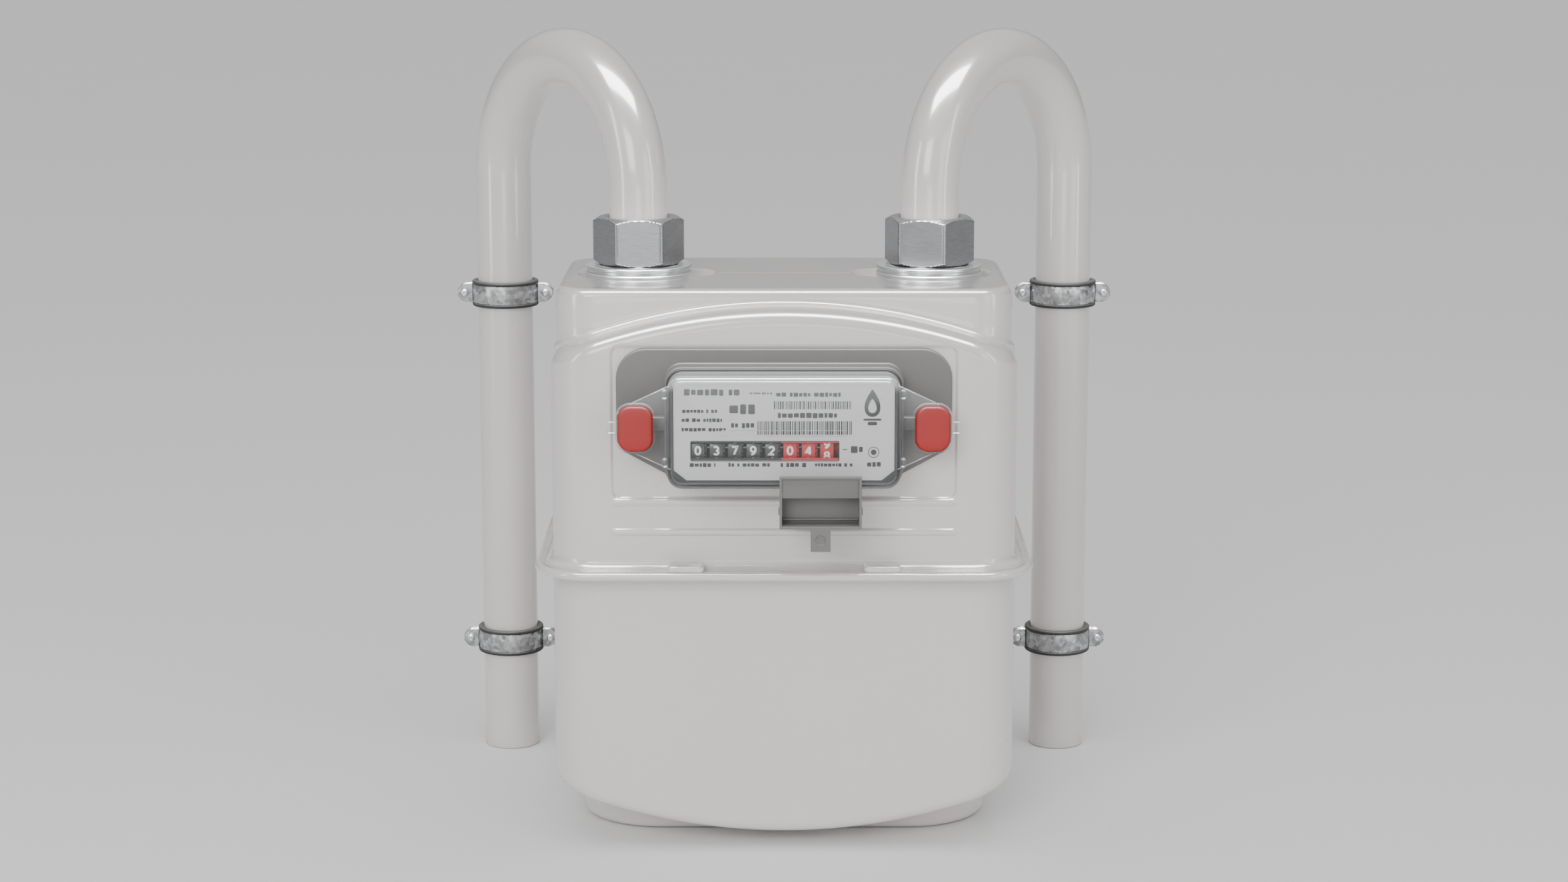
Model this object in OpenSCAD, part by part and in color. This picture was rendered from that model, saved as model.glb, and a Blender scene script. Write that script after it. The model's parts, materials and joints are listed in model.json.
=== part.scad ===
// Domestic diaphragm gas meter with two swan-neck pipes and four pipe clamps.
// Frame: origin on the floor under the middle of the casing, +X right, +Y to the wall, +Z up.
// The front, with the index, faces -Y. Lengths in millimetres, angles in degrees.

/* [Casing] */
// Outer width of the drawn casing
case_w = 170.4; // [150:0.1:205]
// Outer depth of the drawn casing
case_d = 131; // [125:0.5:158]
// Height of the top plateau above the floor
case_h = 206; // [195:0.5:250]
// Height of the joint between the two halves
seam_z = 105; // [100:0.5:110]
// Plan radius of the vertical corners
corner_r = 17; // [12:0.5:22]
// Thickness of the pressed steel
sheet = 0.9; // [0.6:0.05:1.2]
// Radius of the arch along the top and the bottom of the front
arch_r = 218; // [180:1:300]
// Height from the crown of the arch to the plateau
arch_drop = 5.2; // [3:0.1:8]
// Rounding of the arched edge
edge_r = 5; // [3:0.5:7]
// Depth of the flat plateau from front to back
plateau_d = 95; // [85:0.5:100]
// Step at each side between the casing wall and the plateau
plateau_step = 1.2; // [0.6:0.1:2]
// Width of the flat base
base_w = 154; // [140:1:164]
// Depth of the flat base
base_d = 95; // [85:0.5:100]
// Corner radius of the flat base
base_r = 14; // [10:0.5:16]
// Plan radius of the plateau's corners
plateau_r = 14; // [10:0.5:16]
// Rounding of the plateau's edge
plateau_edge_r = 3.5; // [2:0.25:5]

/* [Crimped rim] */
// How far the rim stands out at the sides
rim_side = 6.3; // [6:0.1:9]
// How far the rim stands out at the front and the back
rim_front = 11; // [9:0.5:13]
// Height of the rolled rim
rim_h = 3.2; // [2.8:0.1:5]
// Plan radius of the rim's corners
rim_r = 22; // [18:0.5:26]
// Thickness of the casing gasket
seam_gasket_t = 0.4; // [0.3:0.1:0.8]
// Width of each clip on the front of the rim
clip_w = 13.2; // [8:0.1:20]
// Distance of each clip from the middle
clip_x = 35.6; // [25:0.1:60]
// Height of each clip above the rim
clip_h = 2.2; // [1:0.1:4]

/* [Ports and nuts] */
// Distance between the two ports
port_pitch = 110; // [100:1:130]
// Radius of the spigot's disc
spigot_disc_r = 20.1; // [17:0.1:22]
// Height of the spigot's disc
spigot_disc_h = 6.5; // [5:0.1:9]
// Depth of the pocket round each port
pocket_depth = 3; // [2:0.1:4]
// Gap between the spigot's disc and the pocket's wall
pocket_gap = 2.2; // [1:0.1:3]
// Radius of the spigot's threaded end
thread_r = 13.1; // [12:0.1:14]
// Length of the spigot's threaded end
thread_h = 10; // [8:0.5:14]
// Radius of the gas way through each spigot
gas_way_r = 9.5; // [8:0.1:10.5]
// Thickness of the flat gasket in each union
port_gasket_t = 2; // [1:0.1:3]
// Width across the flats of the union nut
nut_af = 30.2; // [30:0.1:36]
// Height of the union nut
nut_h = 17.8; // [15:0.1:24]
// Turn of the inlet nut
inlet_nut_turn = 3; // [-30:1:30]
// Turn of the outlet nut
outlet_nut_turn = -14; // [-30:1:30]

/* [Pipes] */
// Outer diameter of the pipe
pipe_od = 22; // [18:0.5:22]
// Wall of the pipe
pipe_wall = 1.5; // [1:0.1:2]
// Distance of each riser from the middle
riser_x = 112.5; // [111:0.5:135]
// Distance of each riser behind the ports
riser_y = 76.2; // [60:0.1:90]
// Height of the start of the bend above the pipe's collar
bend_rise = 15.8; // [8:0.1:80]
// Thickness of the collar that the nut pulls down
collar_t = 2.8; // [2:0.1:4]

/* [Pipe clamps] */
// Height of the lower clamps
clamp_low_z = 44.8; // [20:0.1:80]
// Height of the upper clamps
clamp_high_z = 188.1; // [120:0.1:225]
// Height of the steel band
band_h = 7.6; // [6:0.1:14]
// Thickness of the steel band
band_t = 0.8; // [0.6:0.1:2]
// Thickness of the rubber liner under the band
liner_t = 1.2; // [0.8:0.1:3]
// Height of the liner's lip above and below the band
liner_lip_h = 1.4; // [1:0.1:3]
// Reach of the ears from the pipe's axis
ear_reach = 19.1; // [18:0.1:26]
// Distance of the clamp screws from the pipe's axis
ear_screw_x = 16.3; // [15.8:0.1:22]
// Gap between the two halves at the ears
ear_gap = 1.2; // [0.6:0.1:3]
// Radius of the clamp screw
clamp_screw_r = 1.1; // [0.8:0.1:2]
// Tapping radius of the wall boss
boss_hole_r = 3.4; // [2.5:0.05:4.2]
// Width across the flats of the wall boss
boss_af = 13; // [11:0.5:17]
// Length of the wall boss
boss_len = 10; // [8:0.5:20]

/* [Index] */
// Width of the recess in the front wall
recess_w = 124.8; // [122.8:0.2:140]
// Lower edge of the recess
recess_z0 = 132.2; // [126:0.1:134]
// Upper edge of the recess
recess_z1 = 187.8; // [187:0.1:190]
// Depth of the recess
recess_depth = 0.8; // [0.4:0.1:1.5]
// Height of the second bead in the front wall
bead_z = 119.5; // [112:0.1:122]
// Width of the mounting plate
plate_w = 121.2; // [119:0.2:124]
// Thickness of the mounting plate
plate_t = 2.2; // [1.8:0.1:3]
// Width of the index housing and its cover
index_w = 83.2; // [82:0.2:90]
// Lower edge of the index
index_z0 = 140.1; // [138:0.1:142]
// Upper edge of the index
index_z1 = 180.7; // [178:0.1:184]
// Corner radius of the index
index_r = 5.5; // [3:0.5:8]
// Wall of the index housing and its cover
index_wall = 1.4; // [1:0.1:2]
// How far the index housing stands out round its cover
housing_rim = 1.6; // [0.5:0.1:2.5]
// Depth of the index housing
housing_d = 9.1; // [8:0.1:9.5]
// Thickness of the cover's gasket
cover_gasket_t = 0.8; // [0.5:0.1:1.5]
// Distance of the dial in front of the mounting plate
dial_d = 17.1; // [17:0.1:19]
// Distance of the cover's face in front of the mounting plate
cover_d = 23.1; // [20:0.1:25]
// Distance of each seal cap from the middle
seal_x = 53.1; // [51:0.1:54]
// Height of the seal caps' middle
seal_z = 160.4; // [158:0.1:163]
// Width of a seal cap
seal_w = 12.7; // [10:0.1:14]
// Height of a seal cap
seal_h = 16.9; // [12:0.1:20]

/* [Counter] */
// Distance from wheel to wheel
wheel_pitch = 6.57; // [6:0.01:6.6]
// Left edge of the number window
window_x0 = -33.1; // [-33.5:0.1:-32]
// Lower edge of the number window
window_z0 = 149.6; // [149:0.1:150]
// Upper edge of the number window
window_z1 = 156.4; // [156:0.1:157]
// Radius of a number wheel
wheel_r = 7; // [6.6:0.1:7.2]
// Gap between neighbouring number wheels
wheel_gap = 1.77; // [1.6:0.01:2.6]
// Height of the counter's axis
counter_z = 153; // [152:0.1:154]
// Radius of the counter's two shafts
counter_shaft_r = 1; // [0.6:0.1:1.2]
// Distance of the input shaft from the middle
input_x = 29; // [28.5:0.1:29.5]
// Pitch radius of the bevel pair
bevel_r = 4.4; // [4:0.1:4.6]

/* [Pulse pocket] */
// Left edge of the pulse pocket
pocket_x0 = -1.6; // [-10:0.1:2]
// Width of the pulse pocket
pocket_w = 29.2; // [20:0.1:32]
// Height of the pulse pocket
pocket_h = 19; // [16:0.1:22]
// Height of the pocket's top edge above the index's lower edge
pocket_rise = 5.1; // [4:0.1:6]
// Distance of the pocket's rim in front of the cover
pocket_front = 2; // [1.5:0.1:4]
// Depth of the pocket below the index
pocket_d = 9; // [6:0.1:13]
// Wall of the pocket
pocket_wall = 0.9; // [0.8:0.05:1.5]

/* [Measuring unit] */
// Height of the diaphragms' middle
chamber_z = 55; // [55:0.1:55.5]
// Inner radius of the measuring chambers
chamber_r = 45; // [44:0.5:46]
// Wall of the measuring chambers
chamber_wall = 3; // [2:0.1:3.2]
// Distance of each diaphragm from the middle
diaphragm_y = 35.5; // [35:0.1:36.5]
// Radius of a diaphragm's pan
pan_r = 33; // [30:0.5:34]
// Stroke of a pan to each side of its middle
pan_stroke = 13; // [10:0.5:13]
// Length of a flag from its rod to the pan's pin
flag_len = 33; // [30:0.5:34]
// Distance of the flag rods to the left of the middle
rod_x = 37; // [36.5:0.5:38]
// Distance of the flag rods from the middle plane
rod_y = 20; // [19.5:0.5:20.5]
// Radius of a flag rod
rod_r = 2; // [1.5:0.1:2.2]
// Radius of the crank
crank_len = 8.4; // [7:0.1:8.6]

/* [Hidden] */
$fn = 64;
SIDES = [-1, 1];

// Colours
paint = [0.80, 0.78, 0.76];
steel = [0.62, 0.62, 0.62];
zinc = [0.70, 0.71, 0.72];
rubber = [0.12, 0.12, 0.12];
grey_plastic = [0.50, 0.50, 0.49];
clear_plastic = [0.85, 0.88, 0.90, 0.35];
dial_white = [0.80, 0.79, 0.78];
wheel_black = [0.10, 0.10, 0.10];
seal_red = [0.72, 0.14, 0.13];
acetal = [0.90, 0.89, 0.84];
brass = [0.78, 0.63, 0.35];
membrane = [0.16, 0.15, 0.17];

// General clearances
eps = 0.01;
run_gap = 0.05;
seat_gap = 0.1;
free_gap = 0.3;
layer_gap = 0.4;

// Casing
rim_lip = (rim_h - 2 * sheet - seam_gasket_t) / 2;
rim_hem = 1.5;
rim_cover = 3.4;
top_w = case_w - 2 * plateau_step;
band_w = case_w + 2 * rim_side;
band_d = case_d + 2 * rim_front;
upper_z = seam_z + seam_gasket_t / 2;
lower_z = seam_z - seam_gasket_t / 2;
front_y = -case_d / 2;

// Ports, from the plateau upwards
port_x = port_pitch / 2;
pipe_r = pipe_od / 2;
bore_r = pipe_r - pipe_wall;
disc_z = case_h - pocket_depth;
disc_top = disc_z + spigot_disc_h;
stud_top = disc_top + thread_h;
collar_z = stud_top + port_gasket_t;
bend_z = collar_z + bend_rise;
nut_z = disc_top + 0.2;
nut_top = nut_z + nut_h;
tail_len = 7;
tail_r = 13;
bend_r = norm([riser_x - port_x, riser_y]) / 2;
bend_turn = atan2(riser_y, riser_x - port_x);
bend_shrink = 0.05;

// Clamps
liner_r = pipe_r + liner_t;
band_r = liner_r + band_t;
ear_t = 1.4;
ear_end_r = band_h / 2;
screw_head_h = 1.4;
clamp_nut_h = 1.6;
lip_r = band_r + 0.3;
boss_y = lip_r + free_gap;
boss_end = band_r + boss_len;
CLAMPS = [for (side = SIDES, z = [clamp_low_z, clamp_high_z]) [side * riser_x, riser_y, z]];

// Index, from the front wall outwards
plate_y = front_y + recess_depth;
plate_face = plate_y - plate_t;
housing_back = 1.2;
housing_front = plate_face - housing_d;
cover_back = housing_front - cover_gasket_t;
dial_y = plate_face - dial_d;
dial_t = 0.6;
dial_back = dial_y + dial_t;
cover_front = plate_face - cover_d;
index_h = index_z1 - index_z0;
index_mid = (index_z0 + index_z1) / 2;
wing_t = 1.5;
wing_front = cover_back - wing_t;
dial_margin = 1.9;
boss_r = 4.6;
bush_r = 4;
seal_t = 3.2;
seal_screw_r = 1.5;
seal_head_r = 2.7;

// Counter
wheel_count = 8;
wheel_teeth = 20;
pinion_teeth = 8;
counter_module = 0.57;
counter_y = dial_back + free_gap + wheel_r;
inner_front = plate_face - housing_back;
carry_w = 0.7;
wheel_hub_r = 2.6;
wheel_bore_r = counter_shaft_r + run_gap;
wheel_tip_r = counter_module * (wheel_teeth / 2 + 1);
wheel_root_r = counter_module * (wheel_teeth / 2 - 1.3);
pinion_tip_r = counter_module * (pinion_teeth / 2 + 0.9);
pinion_root_r = counter_module * (pinion_teeth / 2 - 1.3);
pinion_drop = counter_module * (wheel_teeth + pinion_teeth) / 2 + 0.12;
pinion_z = counter_z - pinion_drop;
pinion_shaft_r = 0.7;
pinion_bore_r = pinion_shaft_r + run_gap;
rim_w = wheel_pitch - wheel_gap;
pinion_w = wheel_gap - 2 * free_gap;
carry_tip_r = pinion_drop - pinion_tip_r - free_gap / 2;
frame_t = 1.2;
frame_left_x = window_x0 - 0.6 - frame_t;
frame_right_x = window_x0 + wheel_count * wheel_pitch + 0.7;
frame_top = counter_z + wheel_r + 1.2;
frame_foot = pinion_z - pinion_tip_r - 0.1;
lug_x = input_x - bevel_r + 2.2;
bevel_teeth = 12;
bevel_face = 1.8;
bevel_addendum = 0.42;
bevel_dedendum = 0.62;
window_x1 = window_x0 + wheel_count * wheel_pitch;

// Measuring unit, from the floor upwards
passage_wall = 1.2;
neck_y = diaphragm_y - 15;
neck_len = 8;
rod_low = chamber_z - sqrt(pow(chamber_r, 2) - pow(rod_x, 2)) - 1.6;
ring_r = chamber_r + chamber_wall;
unit_plate_z = chamber_z + ring_r;
unit_plate_t = 3;
unit_top = unit_plate_z + unit_plate_t;
partition_t = 3;
membrane_t = 0.8;
membrane_grip_y = diaphragm_y - membrane_t / 2;
pan_t = 1.2;
pin_arm = diaphragm_y - rod_y;
pin_x = flag_len - rod_x;
pan_pin_r = 1;
flag_max = atan2(pan_stroke, flag_len);
arm_len = crank_len / sin(flag_max);
flag_rest = asin(sin(flag_max) * cos(45));
pan_rest = flag_len * tan(flag_rest);
arm_x = arm_len * cos(45);
crank_x = -rod_x + rod_y + 2 * arm_x;
pin_rest = crank_len * cos(45);
link_len = norm([crank_x + rod_x - arm_x, rod_y + arm_x]);

// Valves, in a frame turned 45 degrees about the crank
port_w = 4.8;
port_len = 12;
valve_l = 2 * crank_len + port_w;
valve_w = 16;
valve_h = 4.5;
valve_near = 12;
valve_mid = valve_near + valve_l / 2 + crank_len;
valve_seat_h = 3;
valve_seat_l = valve_l + 2 * crank_len;
valve_seat_z = unit_top + valve_seat_h;
valve_top = valve_seat_z + valve_h;
post_back = 8;
post_t = valve_mid + pin_rest - post_back;
rod_len = norm([post_t - pin_rest, pin_rest]);
rod_turn = atan2(pin_rest, post_t - pin_rest);

// Levels of the linkage above the valves
bar_t = 1;
level = bar_t + layer_gap;
front_rod_z = valve_top + layer_gap;
rear_rod_z = front_rod_z + level;
front_link_z = rear_rod_z + level;
rear_link_z = front_link_z + level;
arm_z = rear_link_z + level;
arm_t = 1.6;
pivot_r = 1.2;
eye_r = 3;
disc_low = arm_z + arm_t + 0.9;
disc_t = 2;
crank_pin_r = 1.6;
axle_r = 2;

// Worm drive from the crank to the input shaft
worm_teeth = 20;
worm_module = 0.95;
worm_wheel_r = worm_module * worm_teeth / 2;
worm_lead = PI * worm_module;
worm_core_r = 2.9;
worm_tip_r = 4.7;
worm_turns = 4;
worm_h = worm_turns * worm_lead;
worm_wheel_w = 3;
worm_wheel_x = crank_x + worm_wheel_r + 4;
drive_x = input_x;
drive_r = 1.5;
bearing_arm_t = 3;
bridge_arm_y = 5.6;
axle_top = counter_z + worm_h / 2 + 5;
duct_r = gas_way_r;
duct_wall = 1.5;

module rounded_rect(w, d, r) {
  square([w - 2 * r, d], center = true);
  square([w, d - 2 * r], center = true);
  for (sx = SIDES, sy = SIDES) translate([sx * (w / 2 - r), sy * (d / 2 - r)]) circle(r);
}

// A plan outline with a rounded upper edge
module rounded_slab(w, d, r, h, e) {
  linear_extrude(h - e) rounded_rect(w, d, r);
  linear_extrude(h) rounded_rect(w - 2 * e, d - 2 * e, r - e);
  for (s = SIDES) {
    translate([0, s * (d / 2 - e), h - e]) rotate([0, 90, 0]) cylinder(r = e, h = w - 2 * r, center = true);
    translate([s * (w / 2 - e), 0, h - e]) rotate([90, 0, 0]) cylinder(r = e, h = d - 2 * r, center = true);
  }
  for (sx = SIDES, sy = SIDES) {
    translate([sx * (w / 2 - r), sy * (d / 2 - r), h - e]) rotate_extrude() translate([r - e, 0]) circle(e);
  }
}

// A drum about the Y axis with rounded rims, which gives the casing its arch
module barrel(r, w, e) {
  rotate([90, 0, 0]) rotate_extrude($fn = 180) {
    translate([0, -w / 2]) square([r - e, w]);
    translate([0, -w / 2 + e]) square([r, w - 2 * e]);
    for (s = SIDES) translate([r - e, s * (w / 2 - e)]) circle(e, $fn = 48);
  }
}

// One half of the casing as a solid, standing on the seam, set in by inset all round
module case_half(h, inset, flat_w, flat_d, flat_r) {
  intersection() {
    linear_extrude(h) rounded_rect(case_w - 2 * inset, case_d - 2 * inset, corner_r - inset);
    translate([0, 0, h - arch_drop - arch_r]) barrel(arch_r - inset, case_d - 2 * inset, edge_r - inset);
  }
  rounded_slab(flat_w - 2 * inset, flat_d - 2 * inset, flat_r - inset,
    h - inset, plateau_edge_r - inset / 2);
}

module case_cavity(h, flat_w, flat_d, flat_r) {
  case_half(h, sheet, flat_w, flat_d, flat_r);
  translate([0, 0, -1]) linear_extrude(1 + eps)
    rounded_rect(case_w - 2 * sheet, case_d - 2 * sheet, corner_r - sheet);
}

module case_flange() {
  inset = rim_hem + run_gap;
  linear_extrude(sheet) rounded_rect(band_w - 2 * inset, band_d - 2 * inset, rim_r - inset);
}

module lower_case() color(paint) translate([0, 0, lower_z]) mirror([0, 0, 1]) difference() {
  union() {
    case_half(lower_z, 0, base_w, base_d, base_r);
    case_flange();
  }
  case_cavity(lower_z, base_w, base_d, base_r);
}

// The recess for the mounting plate; grow is the sheet that follows it inside
module index_recess(grow) {
  translate([0, plate_y + grow, (recess_z0 + recess_z1) / 2]) rotate([90, 0, 0])
    linear_extrude(recess_depth + grow + 1)
      rounded_rect(recess_w + 2 * grow, recess_z1 - recess_z0 + 2 * grow, 3 + grow);
}

// The pocket round each port, longer towards the middle
module port_pocket(grow) {
  lobe_r = 12;
  lobe_x = spigot_disc_r + pocket_gap + 6.5 - lobe_r;
  for (side = SIDES) translate([side * port_x, 0, disc_z - grow]) linear_extrude(pocket_depth + grow + 1) {
    circle(spigot_disc_r + pocket_gap + grow);
    translate([-side * lobe_x, 0]) circle(lobe_r + grow);
    translate([-side * lobe_x / 2, 0]) square([lobe_x, 2 * (lobe_r + grow)], center = true);
  }
}

module wall_beads() {
  bead_r = 1.6;
  for (z = [recess_z0 - bead_r, bead_z]) translate([0, front_y + 0.7, z]) rotate([0, 90, 0])
    cylinder(r = bead_r, h = recess_w - 2 * bead_r, center = true);
}

module upper_case() color(paint) difference() {
  union() {
    translate([0, 0, upper_z]) case_half(case_h - upper_z, 0, top_w, plateau_d, plateau_r);
    translate([0, 0, upper_z]) case_flange();
    wall_beads();
  }
  difference() {
    translate([0, 0, upper_z]) case_cavity(case_h - upper_z, top_w, plateau_d, plateau_r);
    index_recess(sheet);
    port_pocket(sheet);
  }
  index_recess(0);
  port_pocket(0);
  for (side = SIDES) translate([side * port_x, 0, 0]) cylinder(r = tail_r + seat_gap, h = case_h);
  translate([drive_x, front_y + 5, counter_z]) rotate([90, 0, 0]) cylinder(r = bush_r + run_gap, h = 10);
}

// Section of the rolled rim, open towards the casing; X is measured from a corner's centre
module rim_section() difference() {
  union() {
    translate([rim_r - rim_cover, -rim_h / 2]) square([rim_cover - rim_h / 2, rim_h]);
    translate([rim_r - rim_h / 2, 0]) circle(rim_h / 2, $fn = 32);
  }
  translate([rim_r - rim_cover - 1, rim_lip - rim_h / 2]) square([rim_cover + 1 - rim_hem, rim_h - 2 * rim_lip]);
}

module crimp_band() color(paint) translate([0, 0, seam_z]) for (turn = [0, 180]) rotate(turn) {
  half_w = band_w / 2 - rim_r;
  half_d = band_d / 2 - rim_r;
  translate([0, half_d, 0]) rotate([90, 0, 90]) linear_extrude(2 * half_w, center = true) rim_section();
  translate([half_w, 0, 0]) rotate([90, 0, 0]) linear_extrude(2 * half_d, center = true) rim_section();
  translate([half_w, half_d, 0]) rotate_extrude(angle = 90) rim_section();
  translate([-half_w, half_d, 0]) rotate(90) rotate_extrude(angle = 90) rim_section();
}

module case_gasket() color(rubber) translate([0, 0, lower_z]) linear_extrude(seam_gasket_t) difference() {
  inset = rim_hem + run_gap;
  rounded_rect(band_w - 2 * inset, band_d - 2 * inset, rim_r - inset);
  rounded_rect(case_w - 2 * sheet, case_d - 2 * sheet, corner_r - sheet);
}

module flange_clips() color(paint) for (side = SIDES) {
  translate([side * clip_x, front_y - rim_front / 2, seam_z + rim_h / 2]) {
    linear_extrude(clip_h - 0.6) square([clip_w, rim_front - 2.4], center = true);
    linear_extrude(clip_h) square([clip_w - 1.2, rim_front - 3.6], center = true);
  }
}

module port_spigots() color(steel) for (side = SIDES) translate([side * port_x, 0, disc_z]) {
  rotate_extrude() polygon([
    [gas_way_r + seat_gap, -tail_len], [tail_r, -tail_len], [tail_r, 0], [spigot_disc_r, 0],
    [spigot_disc_r, spigot_disc_h - 2.6], [spigot_disc_r - 0.8, spigot_disc_h - 2.2],
    [spigot_disc_r - 0.8, spigot_disc_h - 1.5], [spigot_disc_r, spigot_disc_h - 1.1],
    [spigot_disc_r, spigot_disc_h - 0.3], [spigot_disc_r - 0.3, spigot_disc_h],
    [thread_r, spigot_disc_h], [thread_r, spigot_disc_h + thread_h],
    [gas_way_r, spigot_disc_h + thread_h], [gas_way_r, 0], [gas_way_r + seat_gap, 0]]);
}

module port_gaskets() color(rubber) for (side = SIDES) translate([side * port_x, 0, stud_top]) {
  difference() {
    cylinder(r = thread_r, h = port_gasket_t);
    translate([0, 0, -1]) cylinder(r = gas_way_r, h = port_gasket_t + 2);
  }
}

// A hexagonal nut with both ends turned down to a round chamfer
module union_nut(turn) {
  corner = nut_af / 2 / cos(30);
  flat = nut_af / 2;
  chamfer = 1.6;
  difference() {
    intersection() {
      rotate(turn) cylinder(r = corner, h = nut_h, $fn = 6);
      rotate_extrude() polygon([[0, 0], [flat - 0.2, 0], [corner + 0.1, chamfer],
        [corner + 0.1, nut_h - chamfer], [flat - 0.2, nut_h], [0, nut_h]]);
    }
    translate([0, 0, -1]) cylinder(r = thread_r + seat_gap, h = collar_z + collar_t - nut_z + 1);
    cylinder(r = pipe_r + free_gap, h = nut_h + 1);
  }
}

module union_nuts() color(steel) {
  translate([-port_x, 0, nut_z]) union_nut(inlet_nut_turn);
  translate([port_x, 0, nut_z]) union_nut(outlet_nut_turn);
}

// A straight length of pipe from z0 up to the bend
module pipe_leg(z0) translate([0, 0, z0]) difference() {
  cylinder(r = pipe_r, h = bend_z - z0);
  translate([0, 0, -1]) cylinder(r = bore_r, h = bend_z - z0 + 2);
}

module swan_neck() {
  translate([riser_x, riser_y, 0]) pipe_leg(0);
  translate([port_x, 0, 0]) pipe_leg(collar_z);
  translate([port_x, 0, collar_z]) difference() {
    cylinder(r = thread_r, h = collar_t);
    translate([0, 0, -1]) cylinder(r = (bore_r + pipe_r) / 2, h = collar_t + 2);
  }
  translate([(riser_x + port_x) / 2, riser_y / 2, bend_z]) rotate(bend_turn) rotate([90, 0, 0])
    rotate_extrude(angle = 180) translate([bend_r, 0]) difference() {
      circle(pipe_r - bend_shrink);
      circle(bore_r - bend_shrink);
    }
}

module inlet_pipe() color(paint) mirror([1, 0, 0]) swan_neck();

module outlet_pipe() color(paint) swan_neck();

// A round-ended ear with its screw hole, reaching out along one side
module clamp_ear(side) translate([side * (ear_reach - ear_end_r), 0, 0]) rotate([90, 0, 0])
  linear_extrude(ear_t) difference() {
    union() {
      circle(ear_end_r);
      translate([-side * (ear_reach - ear_end_r - liner_r) / 2, 0])
        square([ear_reach - ear_end_r - liner_r, band_h], center = true);
    }
    translate([side * (ear_screw_x - ear_reach + ear_end_r), 0]) circle(clamp_screw_r + run_gap);
  }

// Half of the band, on the -Y side of the pipe's axis
module clamp_half() difference() {
  union() {
    intersection() {
      cylinder(r = band_r, h = band_h, center = true);
      translate([0, -band_r - ear_gap / 2, 0]) cube([3 * band_r, 2 * band_r, band_h], center = true);
    }
    for (side = SIDES) translate([0, -ear_gap / 2, 0]) clamp_ear(side);
  }
  cylinder(r = liner_r, h = band_h + 1, center = true);
}

module clamp_front_halves() color(zinc) for (p = CLAMPS) translate(p) clamp_half();

module clamp_rear_halves() color(zinc) for (p = CLAMPS) translate(p) difference() {
  union() {
    mirror([0, 1, 0]) clamp_half();
    rotate([-90, 0, 0]) {
      cylinder(r = band_h / 2 - 0.2, h = boss_y + 1);
      translate([0, 0, boss_y]) cylinder(r = boss_af / 2 / cos(30), h = boss_end - boss_y, $fn = 6);
    }
  }
  cylinder(r = liner_r, h = boss_af + 4, center = true);
  translate([0, boss_end - boss_len, 0]) rotate([-90, 0, 0]) cylinder(r = boss_hole_r, h = boss_len + 1);
}

module clamp_liners() color(rubber) for (p = CLAMPS) translate(p) rotate_extrude() {
  half = band_h / 2;
  inner_r = pipe_r + seat_gap;
  outer_r = liner_r - seat_gap;
  polygon([[inner_r, -half - liner_lip_h], [lip_r, -half - liner_lip_h], [lip_r, -half], [outer_r, -half],
    [outer_r, half], [lip_r, half], [lip_r, half + liner_lip_h], [inner_r, half + liner_lip_h]]);
}

module clamp_screws() color(zinc) for (p = CLAMPS, side = SIDES) {
  reach = ear_gap + 2 * ear_t + clamp_nut_h;
  translate(p + [side * ear_screw_x, -ear_gap / 2 - ear_t, 0]) rotate([-90, 0, 0]) {
    cylinder(r = clamp_screw_r, h = reach);
    translate([0, 0, -screw_head_h]) cylinder(r = 1.6, h = screw_head_h);
  }
}

module clamp_nuts() color(zinc) for (p = CLAMPS, side = SIDES) {
  translate(p + [side * ear_screw_x, ear_gap / 2 + ear_t, 0]) rotate([-90, 0, 0]) difference() {
    cylinder(r = 2.3, h = clamp_nut_h, $fn = 6);
    translate([0, 0, -1]) cylinder(r = clamp_screw_r + run_gap, h = clamp_nut_h + 2);
  }
}

// Extrudes an outline drawn in X and Z from y_back forwards to y_front
module slab_y(y_back, y_front) translate([0, y_back, 0]) rotate([90, 0, 0])
  linear_extrude(y_back - y_front) children();

module index_outline(shrink) translate([0, index_mid])
  rounded_rect(index_w - 2 * shrink, index_h - 2 * shrink, index_r - shrink * 0.6);

module drive_hole(r) translate([drive_x, 0, counter_z]) rotate([90, 0, 0]) cylinder(r = r, h = 200);

module index_mount_plate() color(grey_plastic) difference() {
  top_r = 11;
  top = recess_z1 - 0.6;
  low = index_z0 - housing_rim;
  half = plate_w / 2;
  slab_y(plate_y, plate_face) {
    polygon([[-half, 151], [-index_w / 2 + 4, low], [index_w / 2 - 4, low], [half, 151],
      [half, top - top_r], [half - top_r, top - top_r], [half - top_r, top],
      [top_r - half, top], [top_r - half, top - top_r], [-half, top - top_r]]);
    for (s = SIDES) translate([s * (half - top_r), top - top_r]) circle(top_r);
  }
  drive_hole(bush_r + run_gap);
}

module index_housing() color(grey_plastic) difference() {
  union() {
    slab_y(plate_face, housing_front) index_outline(-housing_rim);
    for (s = SIDES) slab_y(plate_face, cover_back) translate([s * seal_x, seal_z]) circle(boss_r);
    for (s = SIDES) slab_y(plate_face, plate_face - 4) translate([s * (seal_x + index_w / 2) / 2, seal_z])
      square([seal_x - index_w / 2 + 1, 5], center = true);
  }
  slab_y(plate_face - housing_back, housing_front - 1) index_outline(index_wall);
  for (s = SIDES) translate([s * seal_x, plate_face - 3, seal_z]) rotate([90, 0, 0])
    cylinder(r = seal_screw_r + run_gap, h = 20);
  drive_hole(bush_r + run_gap);
}

module cover_gasket() color(rubber) slab_y(housing_front, cover_back) difference() {
  index_outline(0);
  index_outline(index_wall);
}

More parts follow.
